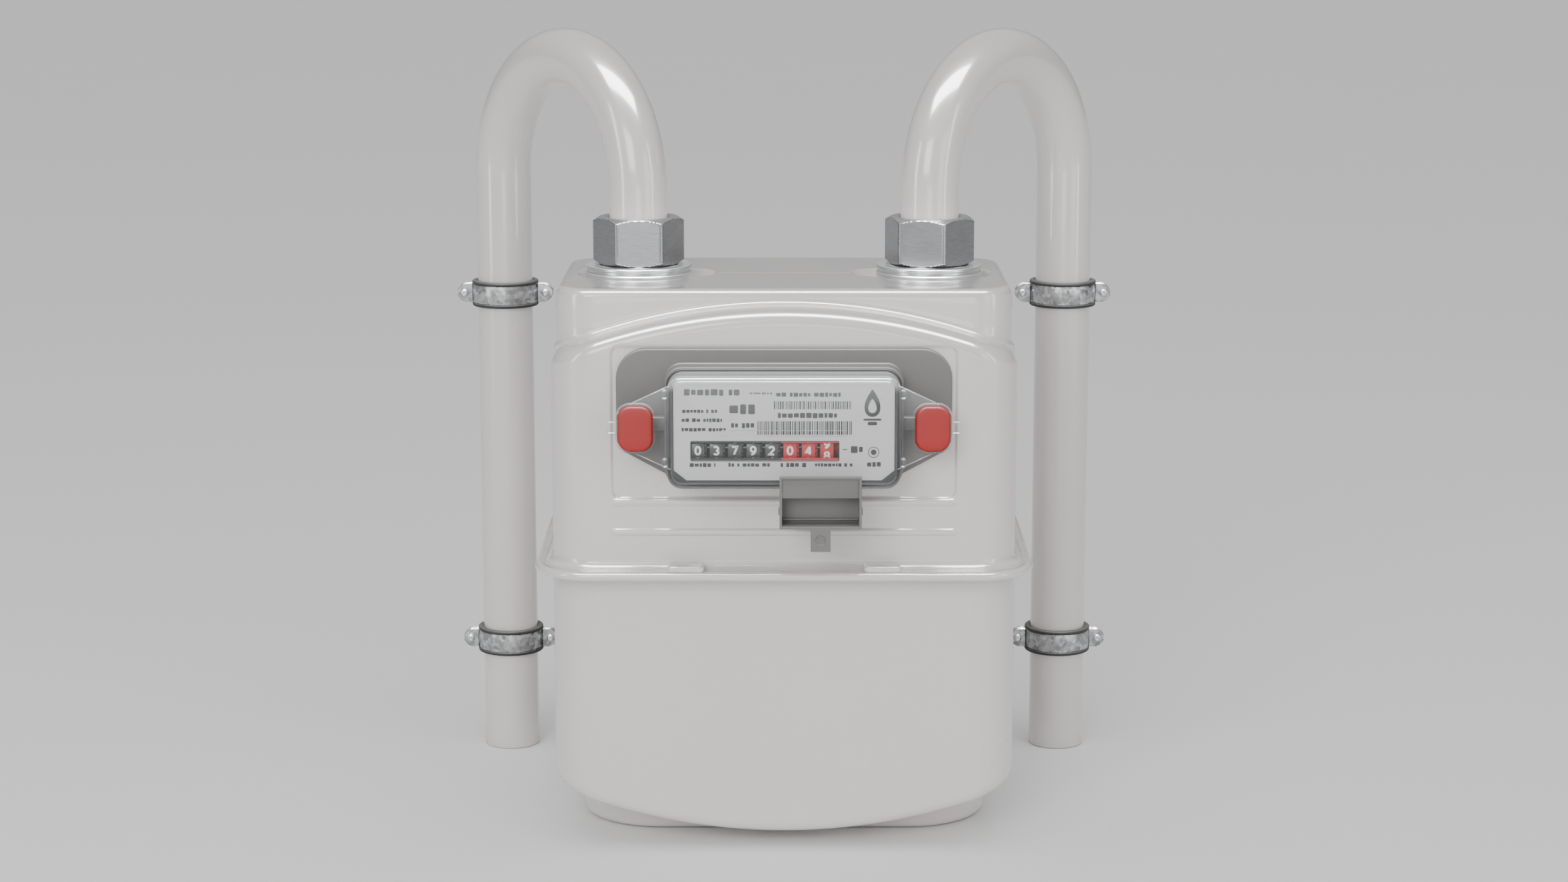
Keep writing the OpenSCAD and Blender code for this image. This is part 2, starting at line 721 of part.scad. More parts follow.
// The wing that carries one seal, from the cover's side to beyond the seal
module cover_wing() {
  polygon([[index_w / 2 - 1, index_mid - 15.5], [seal_x + 1, seal_z - seal_h / 2 - 0.8],
    [seal_x + seal_w / 2 + 0.8, seal_z - 5], [seal_x + seal_w / 2 + 0.8, seal_z - 2.2],
    [seal_x + 10.2, seal_z - 2.2], [seal_x + 10.2, seal_z + 2.2],
    [seal_x + seal_w / 2 + 0.8, seal_z + 2.2], [seal_x + seal_w / 2 + 0.8, seal_z + 5],
    [seal_x + 1, seal_z + seal_h / 2 + 0.8], [index_w / 2 - 1, index_mid + 15.5]]);
}

module index_cover() color(clear_plastic) difference() {
  union() {
    slab_y(cover_back, cover_front) index_outline(0);
    slab_y(cover_back, wing_front) {
      cover_wing();
      mirror([1, 0]) cover_wing();
    }
  }
  slab_y(cover_back + 1, cover_front + index_wall) index_outline(index_wall);
  for (s = SIDES) slab_y(cover_back + 1, wing_front - 1) translate([s * seal_x, seal_z])
    circle(seal_screw_r + 0.2);
}

module dial_plate() color(dial_white) slab_y(dial_back, dial_y) difference() {
  translate([0, index_mid]) rounded_rect(index_w - 2 * dial_margin, index_h - 2 * dial_margin, 3.8);
  translate([window_x0, window_z0]) square([window_x1 - window_x0, window_z1 - window_z0]);
}

// Bracket that holds the counter's shafts, with its feet on the housing's back wall
module index_frame() color(steel) difference() {
  union() {
    for (x = [frame_left_x, frame_right_x]) translate([x, dial_back, frame_foot])
      cube([frame_t, inner_front - dial_back, frame_top - frame_foot]);
    translate([frame_left_x, dial_back, frame_top])
      cube([lug_x + frame_t - frame_left_x, inner_front - dial_back - 4, frame_t]);
    translate([lug_x, counter_y - 2.6, counter_z - 2]) cube([frame_t, 4, frame_top - counter_z + 2 + eps]);
  }
  translate([frame_right_x - 1, counter_y, counter_z]) rotate([0, 90, 0])
    cylinder(r = wheel_hub_r + run_gap, h = frame_t + 2);
  translate([frame_left_x - 1, counter_y, counter_z]) rotate([0, 90, 0])
    cylinder(r = counter_shaft_r, h = frame_t + 2);
  translate([lug_x - 1, counter_y, counter_z]) rotate([0, 90, 0])
    cylinder(r = counter_shaft_r, h = frame_t + 2);
  translate([frame_left_x - 1, counter_y, pinion_z]) rotate([0, 90, 0])
    cylinder(r = counter_shaft_r, h = 80);
}

// Gear with straight-sided teeth; root_fill and tip_fill are shares of the pitch that a tooth fills
module gear_outline(n, root_r, tip_r, root_fill, tip_fill) {
  step = 360 / n;
  polygon([for (i = [0:n - 1], c = [[root_r, -root_fill], [tip_r, -tip_fill], [tip_r, tip_fill],
    [root_r, root_fill]]) c[0] * [cos(step * (i + c[1] / 2)), sin(step * (i + c[1] / 2))]]);
}

// Turns a piece drawn about Z so that it runs along +X from x, on an axis at height z
module on_counter_axis(x, z) translate([x, counter_y, z]) rotate([0, 90, 0]) children();

module number_wheel(k) color(k > 5 ? seal_red : wheel_black)
  on_counter_axis(window_x0 + (k - 1) * wheel_pitch, counter_z) difference() {
    union() {
      difference() {
        cylinder(r = wheel_r, h = rim_w);
        translate([0, 0, 1.2]) cylinder(r = wheel_r - 1, h = rim_w - 2.4);
      }
      cylinder(r = wheel_hub_r, h = rim_w + (k < wheel_count ? carry_w : eps));
      if (k < wheel_count) translate([0, 0, rim_w - eps]) linear_extrude(carry_w)
        rotate(180 / wheel_teeth) gear_outline(wheel_teeth, wheel_root_r, wheel_tip_r, 0.56, 0.3);
      if (k > 1) translate([0, 0, -carry_w]) carry_disc();
      if (k == wheel_count) input_bevel();
    }
    translate([0, 0, -5]) cylinder(r = wheel_bore_r, h = 20);
  }

// Disc with the two carry teeth, on the side of a wheel that faces the next higher wheel
module carry_disc() {
  cylinder(r = carry_tip_r - 0.6, h = carry_w + eps);
  for (a = [171, 189]) rotate(a) translate([carry_tip_r / 2, 0, (carry_w + eps) / 2])
    cube([carry_tip_r, 0.7, carry_w + eps], center = true);
}

// Bevel on the last wheel, with its apex on the input shaft's axis
module input_bevel() {
  base = input_x - bevel_r - (window_x0 + (wheel_count - 1) * wheel_pitch);
  cylinder(r = wheel_hub_r, h = base + eps);
  translate([0, 0, base]) bevel(0);
}

// Bevel of 45 degrees: its outline shrinks towards the apex, bevel_r above its base
module bevel(turn) linear_extrude(height = bevel_face, scale = 1 - bevel_face / bevel_r)
  rotate(turn) gear_outline(bevel_teeth, bevel_r - bevel_dedendum, bevel_r + bevel_addendum, 0.46, 0.24);

module transfer_pinion(k) color(acetal)
  on_counter_axis(window_x0 + (k - 1) * wheel_pitch + rim_w + free_gap, pinion_z) difference() {
    linear_extrude(pinion_w) gear_outline(pinion_teeth, pinion_root_r, pinion_tip_r, 0.5, 0.26);
    translate([0, 0, -1]) cylinder(r = pinion_bore_r, h = pinion_w + 2);
  }

module index_shafts() color(steel) {
  on_counter_axis(frame_left_x, counter_z) cylinder(r = counter_shaft_r, h = lug_x + frame_t - frame_left_x);
  on_counter_axis(frame_left_x, pinion_z) {
    cylinder(r = pinion_shaft_r, h = frame_right_x + frame_t - frame_left_x);
    cylinder(r = counter_shaft_r, h = frame_t);
    translate([0, 0, frame_right_x - frame_left_x]) cylinder(r = counter_shaft_r, h = frame_t);
  }
}

// Input shaft with its moulded bevel
module drive_shaft() color(acetal) translate([drive_x, counter_y, counter_z]) rotate([-90, 0, 0]) {
  rear = bridge_arm_y + bearing_arm_t - counter_y;
  translate([0, 0, bevel_r]) cylinder(r = drive_r, h = rear - bevel_r);
  translate([0, 0, bevel_r]) mirror([0, 0, 1]) bevel(180 / bevel_teeth);
}

module shaft_bush() color(brass) difference() {
  flange_y = plate_y + sheet;
  union() {
    translate([drive_x, flange_y + 1.5, counter_z]) rotate([90, 0, 0]) cylinder(r = bush_r + 2.5, h = 1.5);
    translate([drive_x, flange_y + 1, counter_z]) rotate([90, 0, 0])
      cylinder(r = bush_r, h = flange_y + 1 - inner_front);
  }
  drive_hole(drive_r + run_gap);
  mirror([0, 1, 0]) drive_hole(drive_r + run_gap);
}

// A pressed cap over each cover screw
module seal_caps() color(seal_red) for (s = SIDES) difference() {
  slab_y(wing_front, wing_front - seal_t) translate([s * seal_x, seal_z]) rounded_rect(seal_w, seal_h, 4.6);
  slab_y(wing_front + 1, wing_front - seal_t + 1) translate([s * seal_x, seal_z]) circle(seal_head_r + free_gap);
}

module cover_screws() color(zinc) for (s = SIDES) translate([s * seal_x, 0, seal_z]) rotate([90, 0, 0]) {
  translate([0, 0, -plate_face + 3]) cylinder(r = seal_screw_r, h = plate_face - 3 - wing_front);
  translate([0, 0, -wing_front]) cylinder(r = seal_head_r, h = 1.6);
}

// Open-fronted box for a pulse unit, held by a tongue under the housing
module pulse_pocket() color(grey_plastic) difference() {
  rim_y = cover_front - pocket_front;
  top = index_z0 + pocket_rise;
  low = top - pocket_h;
  tongue_z = index_z0 - housing_rim;
  shelf_z = tongue_z - free_gap;
  tab_w = 7.1;
  tab_x = pocket_x0 + pocket_w * 0.5;
  union() {
    translate([pocket_x0, rim_y, low]) cube([pocket_w, pocket_d, shelf_z - low]);
    translate([pocket_x0, rim_y, low]) cube([pocket_w, pocket_front - free_gap, pocket_h]);
    translate([pocket_x0 + 3, rim_y + pocket_d - 1, tongue_z - 1.4])
      cube([pocket_w - 6, plate_y - rim_y - pocket_d + 1, 1.4]);
    translate([tab_x - tab_w / 2, rim_y, low - 8.2]) cube([tab_w, 1.4, 9]);
  }
  translate([pocket_x0 + pocket_wall, rim_y - 1, low + pocket_wall])
    cube([pocket_w - 2 * pocket_wall, pocket_d + 1 - pocket_wall, shelf_z - low - 2 * pocket_wall]);
  translate([pocket_x0 + pocket_wall, rim_y - 1, low + pocket_wall])
    cube([pocket_w - 2 * pocket_wall, pocket_front + 1 - free_gap - pocket_wall, pocket_h - 2 * pocket_wall]);
  translate([tab_x, rim_y + 0.4, low - 4]) rotate([90, 0, 0]) cylinder(r = 1.8, h = 2);
}

// Places a piece in the frame of the front (-1) or rear (1) valve: X runs out from the crank
module valve_frame(side) translate([crank_x, 0, 0]) rotate(side * 45) children();

module valve_ports() for (side = SIDES, k = [-1:1]) valve_frame(side)
  translate([valve_mid + k * crank_len, 0, unit_plate_z - 1])
    linear_extrude(unit_plate_t + valve_seat_h + 2) square([port_w, port_len], center = true);

// Plan of the passages cut under one valve table; wall is added all round
module near_passage(side, wall) valve_frame(side) translate([valve_mid - crank_len, 0])
  square([port_w + 2 * wall, port_len + 2 * wall], center = true);

module far_passage(side, wall) {
  far_end = neck_y + neck_len / 2;
  valve_frame(side) translate([valve_mid + crank_len, side * (far_end - port_len / 2) / 2])
    square([port_w + 2 * wall, far_end + port_len / 2 + 2 * wall], center = true);
}

module far_neck(side, wall) valve_frame(side) translate([valve_mid + crank_len, side * neck_y])
  square([port_w + 2 * wall, neck_len + 2 * wall], center = true);

// Chambers, partition, passages and valve tables, moulded in one piece
module measuring_body() color(acetal) difference() {
  plate_x0 = -rod_x - 12;
  plate_x1 = port_x + duct_r + 4;
  plate_half = membrane_grip_y + 14;
  cheek = membrane_grip_y - partition_t / 2 + 1;
  saddle_z = chamber_z + chamber_r / 2;
  union() {
    translate([0, 0, chamber_z]) rotate([90, 0, 0])
      cylinder(r = ring_r, h = 2 * membrane_grip_y, center = true);
    translate([-15, -membrane_grip_y, chamber_z + chamber_r]) cube([30, 2 * membrane_grip_y, chamber_wall + 1]);
    translate([plate_x0, -plate_half, unit_plate_z]) cube([plate_x1 - plate_x0, 2 * plate_half, unit_plate_t]);
    for (side = SIDES) {
      translate([-rod_x, side * rod_y, saddle_z]) cylinder(r = 5, h = unit_plate_z - saddle_z + 1);
      translate([0, 0, saddle_z]) linear_extrude(unit_plate_z - saddle_z + 1) near_passage(side, passage_wall);
      translate([0, 0, unit_plate_z - 7]) linear_extrude(8) far_passage(side, passage_wall);
      translate([0, 0, saddle_z]) linear_extrude(unit_plate_z - saddle_z) far_neck(side, passage_wall);
      valve_frame(side) translate([valve_mid, 0, unit_plate_z + 1])
        linear_extrude(unit_plate_t + valve_seat_h - 1) square([valve_seat_l, valve_w + 2], center = true);
    }
  }
  for (side = SIDES) {
    translate([0, side * (partition_t + cheek) / 2, chamber_z]) rotate([90, 0, 0])
      cylinder(r = chamber_r, h = cheek, center = true);
    translate([0, side * (membrane_grip_y + 20), chamber_z]) rotate([90, 0, 0])
      cylinder(r = ring_r + run_gap, h = 40, center = true);
    translate([-rod_x, side * rod_y, rod_low]) cylinder(r = rod_r + run_gap, h = 200);
    translate([0, 0, saddle_z - 1]) linear_extrude(unit_top - saddle_z) near_passage(side, 0);
    translate([0, 0, unit_plate_z - 7 + passage_wall]) linear_extrude(7) far_passage(side, 0);
    translate([0, 0, saddle_z - 1]) linear_extrude(unit_plate_z - saddle_z) far_neck(side, 0);
  }
  valve_ports();
  translate([port_x, 0, unit_plate_z - 1]) cylinder(r = duct_r + seat_gap, h = unit_plate_t + 2);
}

module diaphragms() color(membrane) for (side = SIDES)
  translate([0, side * diaphragm_y, chamber_z]) rotate([90, 0, 0]) difference() {
    cylinder(r = ring_r, h = membrane_t, center = true);
    cylinder(r = pan_r + free_gap, h = membrane_t + 1, center = true);
  }

module chamber_covers() color(acetal) for (side = SIDES) difference() {
  lid_t = 1.5;
  low = diaphragm_y + membrane_t / 2;
  high = diaphragm_y + pan_stroke + pan_t / 2 + 1.4;
  translate([0, 0, chamber_z]) rotate([side * -90, 0, 0]) translate([0, 0, low]) difference() {
    cylinder(r = ring_r - free_gap, h = high + lid_t - low);
    translate([0, 0, -1]) cylinder(r = chamber_r, h = high - low + 1);
  }
  translate([0, 0, chamber_z]) linear_extrude(ring_r) far_neck(side, 0);
}

// Pan of one diaphragm, with two ears that hold the flag's pin
module diaphragm_pan(side) {
  ear_w = 6;
  reach = pin_arm + 2.6;
  translate([0, side * (diaphragm_y - pan_rest), chamber_z]) {
    rotate([90, 0, 0]) cylinder(r = pan_r, h = pan_t, center = true);
    for (z = SIDES) translate([pin_x - ear_w / 2, side > 0 ? -reach : 0, z * (flag_h / 2 + 1.2) - 0.6])
      cube([ear_w, reach, 1.2]);
    translate([pin_x, -side * pin_arm, 0]) cylinder(r = pan_pin_r, h = flag_h + 2.4, center = true);
  }
}

flag_h = 14;

module front_pan() color(steel) diaphragm_pan(-1);

module rear_pan() color(steel) diaphragm_pan(1);

// Flag rod with its flag in the chamber and its arm above the valve table
module flag(side) translate([-rod_x, side * rod_y, 0]) rotate(-side * flag_rest) {
  link_z = side < 0 ? front_link_z : rear_link_z;
  slot_half = pan_pin_r + 0.5;
  slot_end = flag_len / cos(flag_max) + slot_half;
  block_w = 2 * slot_half + 3.2;
  translate([0, 0, rod_low + run_gap]) cylinder(r = rod_r, h = arm_z + arm_t - rod_low - run_gap);
  translate([0, -0.8, chamber_z - flag_h / 2]) cube([flag_len - 3, 1.6, flag_h]);
  translate([0, 0, chamber_z - flag_h / 2]) linear_extrude(flag_h) difference() {
    translate([flag_len - 3.4, -block_w / 2]) square([slot_end + 5.2 - flag_len, block_w]);
    translate([flag_len - slot_half, -slot_half]) square([slot_end + slot_half - flag_len, 2 * slot_half]);
  }
  rotate(side * 45) {
    translate([0, 0, arm_z]) linear_extrude(arm_t) {
      circle(rod_r + 1.6);
      translate([0, -2]) square([arm_len, 4]);
      translate([arm_len, 0]) circle(eye_r - 0.4);
    }
    translate([arm_len, 0, link_z - free_gap]) cylinder(r = pivot_r, h = arm_z - link_z + free_gap + eps);
  }
}

module front_flag() color(steel) flag(-1);

module rear_flag() color(steel) flag(1);

// A flat bar with an eye at each end, from the origin along X
module eye_bar(len, near_r, far_r) linear_extrude(bar_t) difference() {
  union() {
    circle(eye_r);
    translate([len, 0]) circle(eye_r);
    translate([0, -1.6]) square([len, 3.2]);
  }
  circle(near_r);
  translate([len, 0]) circle(far_r);
}

// Link from a flag arm to the crank pin; its far eye stands open below the pin
module arm_link(side) translate(concat(arm_tip(side), side < 0 ? front_link_z : rear_link_z))
  rotate(atan2(-arm_tip(side)[1], crank_x + crank_len - arm_tip(side)[0]))
    eye_bar(norm([crank_x + crank_len - arm_tip(side)[0], arm_tip(side)[1]]),
      pivot_r + run_gap, crank_pin_r + run_gap);

function arm_tip(side) = [-rod_x, side * rod_y]
  + arm_len * [cos(45 - flag_rest), side * sin(45 - flag_rest)];

module front_link() color(steel) arm_link(-1);

module rear_link() color(steel) arm_link(1);

// Slide valve with its hollow underside and the post that its rod drives
module slide_valve(side, post_z) valve_frame(side) translate([valve_mid + pin_rest, 0, valve_seat_z]) {
  difference() {
    translate([-valve_l / 2, -valve_w / 2, 0]) cube([valve_l, valve_w, valve_h]);
    translate([-crank_len + port_w / 2, -port_len / 2, -1])
      cube([2 * crank_len - port_w, port_len, valve_h - 1.5 + 1]);
  }
  translate([-post_back, 0, valve_h - eps]) cylinder(r = pivot_r, h = post_z + bar_t + 0.2 - valve_top + eps);
}

module front_valve() color(wheel_black) slide_valve(-1, front_rod_z);

module rear_valve() color(wheel_black) slide_valve(1, rear_rod_z);

// Rod from a valve to the crank pin; its far eye stands open below the pin
module valve_rod(side, z) valve_frame(side) translate([post_t, 0, z]) rotate(180 + side * rod_turn)
  eye_bar(rod_len, pivot_r + run_gap, crank_pin_r + run_gap);

module front_valve_rod() color(steel) valve_rod(-1, front_rod_z);

module rear_valve_rod() color(steel) valve_rod(1, rear_rod_z);

// Single-start worm: an outline with one broad lobe, twisted one turn a lead
module worm() {
  points = 20;
  lobe = function (a) max(0, min(1, 0.5 + (cos(a) - 0.1) * 2.2));
  translate([0, 0, counter_z - worm_h / 2])
    linear_extrude(height = worm_h, twist = 360 * worm_turns, slices = 14 * worm_turns, $fn = points)
      rotate(180 + 180 * worm_turns) polygon([for (i = [0:points - 1]) let (a = 360 * i / points)
        (worm_core_r + (worm_tip_r - worm_core_r) * lobe(a)) * [cos(a), sin(a)]]);
}

// Crank with its pin, axle and worm, hanging from the bridge
module crank() color(brass) translate([crank_x, 0, 0]) {
  web_r = crank_len + crank_pin_r + 1;
  translate([0, 0, disc_low]) cylinder(r = web_r, h = disc_t);
  translate([crank_len, 0, arm_z]) cylinder(r = crank_pin_r, h = disc_low - arm_z + eps);
  translate([0, 0, disc_low]) cylinder(r = axle_r, h = axle_top - disc_low);
  worm();
}

module worm_wheel() color(acetal) translate([drive_x, 0, counter_z]) rotate([90, 0, 0])
  linear_extrude(worm_wheel_w, center = true) difference() {
    gear_outline(worm_teeth, worm_wheel_r - 1.2, worm_wheel_r + 0.7, 0.52, 0.24);
    circle(drive_r);
  }

// Bracket that carries the crank's axle and the rear end of the input shaft
module crank_bridge() color(steel) difference() {
  post_x0 = -12;
  post_w = 6;
  half = 7;
  foot_t = 2;
  low_arm_z = disc_low + disc_t + 1.2;
  high_arm_z = counter_z + worm_h / 2 + 1;
  rear_y = bridge_arm_y + bearing_arm_t;
  union() {
    translate([post_x0 - 4, -half - 2, unit_top]) cube([post_w + 8, half + rear_y + 2, foot_t]);
    translate([post_x0, -half, unit_top]) cube([post_w, half + rear_y, high_arm_z + bearing_arm_t - unit_top]);
    for (z = [low_arm_z, high_arm_z]) translate([0, 0, z]) {
      translate([post_x0, -5, 0]) cube([crank_x - post_x0, 10, bearing_arm_t]);
      translate([crank_x, 0, 0]) cylinder(r = 5, h = bearing_arm_t);
    }
    translate([post_x0, bridge_arm_y, counter_z - 4]) cube([drive_x - post_x0, bearing_arm_t, 8]);
    translate([drive_x, rear_y, counter_z]) rotate([90, 0, 0]) cylinder(r = 4, h = bearing_arm_t);
  }
  translate([crank_x, 0, unit_top]) cylinder(r = axle_r + run_gap, h = 100);
  translate([drive_x, rear_y + 1, counter_z]) rotate([90, 0, 0])
    cylinder(r = drive_r + run_gap, h = bearing_arm_t + 2);
}

// Plan of the passages from the middle ports to the duct; wall is added all round
module outlet_passage(wall) {
  reach = (port_x - crank_x) * sin(45);
  for (side = SIDES) valve_frame(side) translate([valve_mid, side * (port_len / 2 - reach) / 2])
    square([port_w + 2 * wall, port_len / 2 + reach + 2 * wall], center = true);
}

// Manifold under the valve tables and the duct up to the outlet spigot
module outlet_duct() color(acetal) difference() {
  manifold_h = 9;
  union() {
    translate([0, 0, unit_plate_z - manifold_h]) linear_extrude(manifold_h) outlet_passage(duct_wall);
    translate([port_x, 0, unit_plate_z - manifold_h])
      cylinder(r = duct_r, h = disc_z - 1 - unit_plate_z + manifold_h);
  }
  translate([0, 0, unit_plate_z - manifold_h + duct_wall]) linear_extrude(manifold_h) outlet_passage(0);
  translate([port_x, 0, unit_plate_z - manifold_h + duct_wall]) cylinder(r = duct_r - duct_wall, h = 200);
}

// Rubber saddles between the measuring unit and the floor of the casing
module support_pads() color(rubber) for (side = SIDES) difference() {
  translate([side * 24, 0, sheet]) linear_extrude(chamber_z - ring_r + 9) square([13, 56], center = true);
  translate([0, 0, chamber_z]) rotate([90, 0, 0]) cylinder(r = ring_r + seat_gap, h = 100, center = true);
}

lower_case();
upper_case();
crimp_band();
case_gasket();
flange_clips();
port_spigots();
port_gaskets();
union_nuts();
inlet_pipe();
outlet_pipe();
clamp_front_halves();
clamp_rear_halves();
clamp_liners();
clamp_screws();
clamp_nuts();
index_mount_plate();
index_housing();
index_cover();
cover_gasket();
dial_plate();
index_frame();
number_wheel(1);  // number_wheel_1
number_wheel(2);  // number_wheel_2
number_wheel(3);  // number_wheel_3
number_wheel(4);  // number_wheel_4
number_wheel(5);  // number_wheel_5
number_wheel(6);  // number_wheel_6
number_wheel(7);  // number_wheel_7
number_wheel(8);  // number_wheel_8
index_shafts();
transfer_pinion(1);  // transfer_pinion_1
transfer_pinion(2);  // transfer_pinion_2
transfer_pinion(3);  // transfer_pinion_3
transfer_pinion(4);  // transfer_pinion_4
transfer_pinion(5);  // transfer_pinion_5
transfer_pinion(6);  // transfer_pinion_6
transfer_pinion(7);  // transfer_pinion_7
drive_shaft();
shaft_bush();
seal_caps();
cover_screws();
pulse_pocket();
measuring_body();
diaphragms();
chamber_covers();
front_pan();
rear_pan();
front_flag();
rear_flag();
front_link();
rear_link();
front_valve();
rear_valve();
front_valve_rod();
rear_valve_rod();
crank();
worm_wheel();
crank_bridge();
outlet_duct();
support_pads();
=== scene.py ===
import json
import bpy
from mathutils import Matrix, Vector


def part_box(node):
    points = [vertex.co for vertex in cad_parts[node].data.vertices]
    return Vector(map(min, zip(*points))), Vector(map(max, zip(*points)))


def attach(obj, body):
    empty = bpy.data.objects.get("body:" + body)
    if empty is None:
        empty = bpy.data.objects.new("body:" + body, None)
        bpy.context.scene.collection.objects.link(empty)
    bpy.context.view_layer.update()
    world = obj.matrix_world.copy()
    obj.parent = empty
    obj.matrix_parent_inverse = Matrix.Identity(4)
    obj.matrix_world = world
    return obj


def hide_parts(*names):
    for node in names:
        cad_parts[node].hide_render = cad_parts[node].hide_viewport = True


bl_info = {
    "name": "Domestic gas meter",
    "version": (1, 0, 0),
    "blender": (4, 5, 0),
    "location": "View3D > Sidebar > Gas Meter",
    "description": "Surfaces and finishes of a diaphragm gas meter, laid over its CAD frame",
    "category": "Add Mesh",
}

import bmesh
import bpy
import numpy as np
from bpy.props import FloatProperty, FloatVectorProperty, PointerProperty
from mathutils import Vector

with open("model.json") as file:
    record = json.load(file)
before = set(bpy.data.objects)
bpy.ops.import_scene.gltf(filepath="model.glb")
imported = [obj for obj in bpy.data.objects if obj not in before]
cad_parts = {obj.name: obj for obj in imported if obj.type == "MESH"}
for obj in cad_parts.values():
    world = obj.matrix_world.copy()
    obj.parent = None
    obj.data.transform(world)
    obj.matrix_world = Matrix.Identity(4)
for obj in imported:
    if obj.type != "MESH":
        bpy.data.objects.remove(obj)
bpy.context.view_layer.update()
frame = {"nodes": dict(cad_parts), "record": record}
MM = 0.001
BODY = "meter"
SIDES = (-1, 1)


def box_mm(node):
    """Lowest and highest corner of a CAD node at rest, in millimetres."""
    low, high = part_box(node)
    return np.array(low) / MM, np.array(high) / MM


CASE_LOW, CASE_HIGH = box_mm("upper_case")
RIM_LOW, RIM_HIGH = box_mm("crimp_band")
BASE_LOW, BASE_HIGH = box_mm("lower_case")
PIPE_LOW = box_mm("outlet_pipe")[0]
NUT_LOW, NUT_HIGH = box_mm("union_nuts")
SPIGOT_HIGH = box_mm("port_spigots")[1]
LINER_HIGH = box_mm("clamp_liners")[1]
BOSS_HIGH = box_mm("clamp_rear_halves")[1]
PLATE_LOW, PLATE_HIGH = box_mm("index_mount_plate")
COVER_LOW, COVER_HIGH = box_mm("index_cover")
GASKET_LOW, GASKET_HIGH = box_mm("cover_gasket")
DIAL_LOW, DIAL_HIGH = box_mm("dial_plate")
SEAL_LOW, SEAL_HIGH = box_mm("seal_caps")
CLIP_LOW, CLIP_HIGH = box_mm("flange_clips")
SEAM_Z = (RIM_LOW[2] + RIM_HIGH[2]) / 2
WHEELS = [box_mm(f"number_wheel_{k}") for k in range(1, 9)]


# ---------------------------------------------------------------- sizes and colours

def size(name, text, value, low=1.0):
    """A size property in millimetres, or an angle property in degrees."""
    return FloatProperty(name=name, description=text, default=value, min=low)


class MeterSizes(bpy.types.PropertyGroup):
    """Sizes that the surfaces need beyond the CAD boxes, in millimetres, and the nuts' angles in degrees."""
    wall_w: size("Casing width", "Width between the casing's side walls", 170.4)
    wall_d: size("Casing depth", "Depth between the casing's front and back walls", 131.0)
    corner: size("Corner radius", "Plan radius of the casing's corners", 17.0)
    arch: size("Arch radius", "Radius of the arch along the casing's front edge", 218.0, 100.0)
    arch_drop: size("Arch drop", "Height from the arch's crown to the plateau", 5.2)
    edge: size("Arch edge", "Rounding of the arched edge", 5.0, 0.5)
    flat_w: size("Plateau width", "Width of the top plateau", 168.0, 10.0)
    flat_d: size("Plateau depth", "Depth of the top plateau", 95.0, 10.0)
    flat_r: size("Plateau corner", "Plan radius of the top plateau's corners", 14.0)
    base_w: size("Base width", "Width of the flat base", 154.0, 10.0)
    base_d: size("Base depth", "Depth of the flat base", 86.0, 10.0)
    base_r: size("Base corner", "Plan radius of the flat base's corners", 30.0)
    rim_r: size("Rim corner", "Plan radius of the rolled rim's corners", 22.0, 5.0)
    port_x: size("Port distance", "Distance of each port from the middle", 55.0, 10.0)
    inlet_turn: size("Inlet nut turn", "Angle of the inlet nut about its axis", 33.0, -60.0)
    outlet_turn: size("Outlet nut turn", "Angle of the outlet nut about its axis", 16.0, -60.0)
    pipe_r: size("Pipe radius", "Outer radius of the pipes", 11.0)
    bore_r: size("Pipe bore", "Inner radius of the pipes", 9.5)
    riser_x: size("Riser distance", "Distance of each riser from the middle", 112.5, 10.0)
    riser_y: size("Riser depth", "Distance of the risers behind the ports", 76.2)
    bend_z: size("Bend height", "Height where the bends begin", 237.3)
    union_z: size("Union height", "Height of the pipes' collars in the union nuts", 221.5)
    clamp_low: size("Lower clamp", "Height of the lower clamps", 44.8)
    clamp_high: size("Upper clamp", "Height of the upper clamps", 188.1)
    digit_h: size("Digit height", "Height of the counter's digits", 2.8)


def colour(name, text, value):
    """A colour property in linear light."""
    return FloatVectorProperty(name=name, description=text, subtype="COLOR", size=3, min=0, max=1,
                               default=value)


class MeterColours(bpy.types.PropertyGroup):
    """Base colours of the finishes, in linear light."""
    paint: colour("Enamel", "Off-white enamel of the casing and the pipes", (0.70, 0.665, 0.65))
    plastic: colour("Grey plastic", "Index plate, housing and pulse pocket", (0.155, 0.152, 0.146))
    seal: colour("Seals", "Red moulding of the seal caps", (0.36, 0.008, 0.007))
    dial: colour("Dial", "Printed dial plate", (0.60, 0.60, 0.60))
    ink: colour("Ink", "Print on the dial", (0.018, 0.018, 0.019))
    black: colour("Black wheels", "Black moulding of the counter's wheels", (0.012, 0.012, 0.013))
    red: colour("Red wheels", "Red moulding of the counter's last wheels", (0.52, 0.015, 0.015))
    steel: colour("Bright steel", "Union nuts", (0.27, 0.275, 0.285))
    zinc: colour("Zinc", "Spigots, clamps and screws", (0.60, 0.61, 0.62))
    rubber: colour("Rubber", "Liners and gaskets", (0.018, 0.018, 0.019))
    floor: colour("Floor", "Floor under the meter", (0.82, 0.82, 0.82))


def sizes():
    return bpy.context.scene.meter_sizes


def colours():
    return bpy.context.scene.meter_colours


# ---------------------------------------------------------------- shapes from formulas

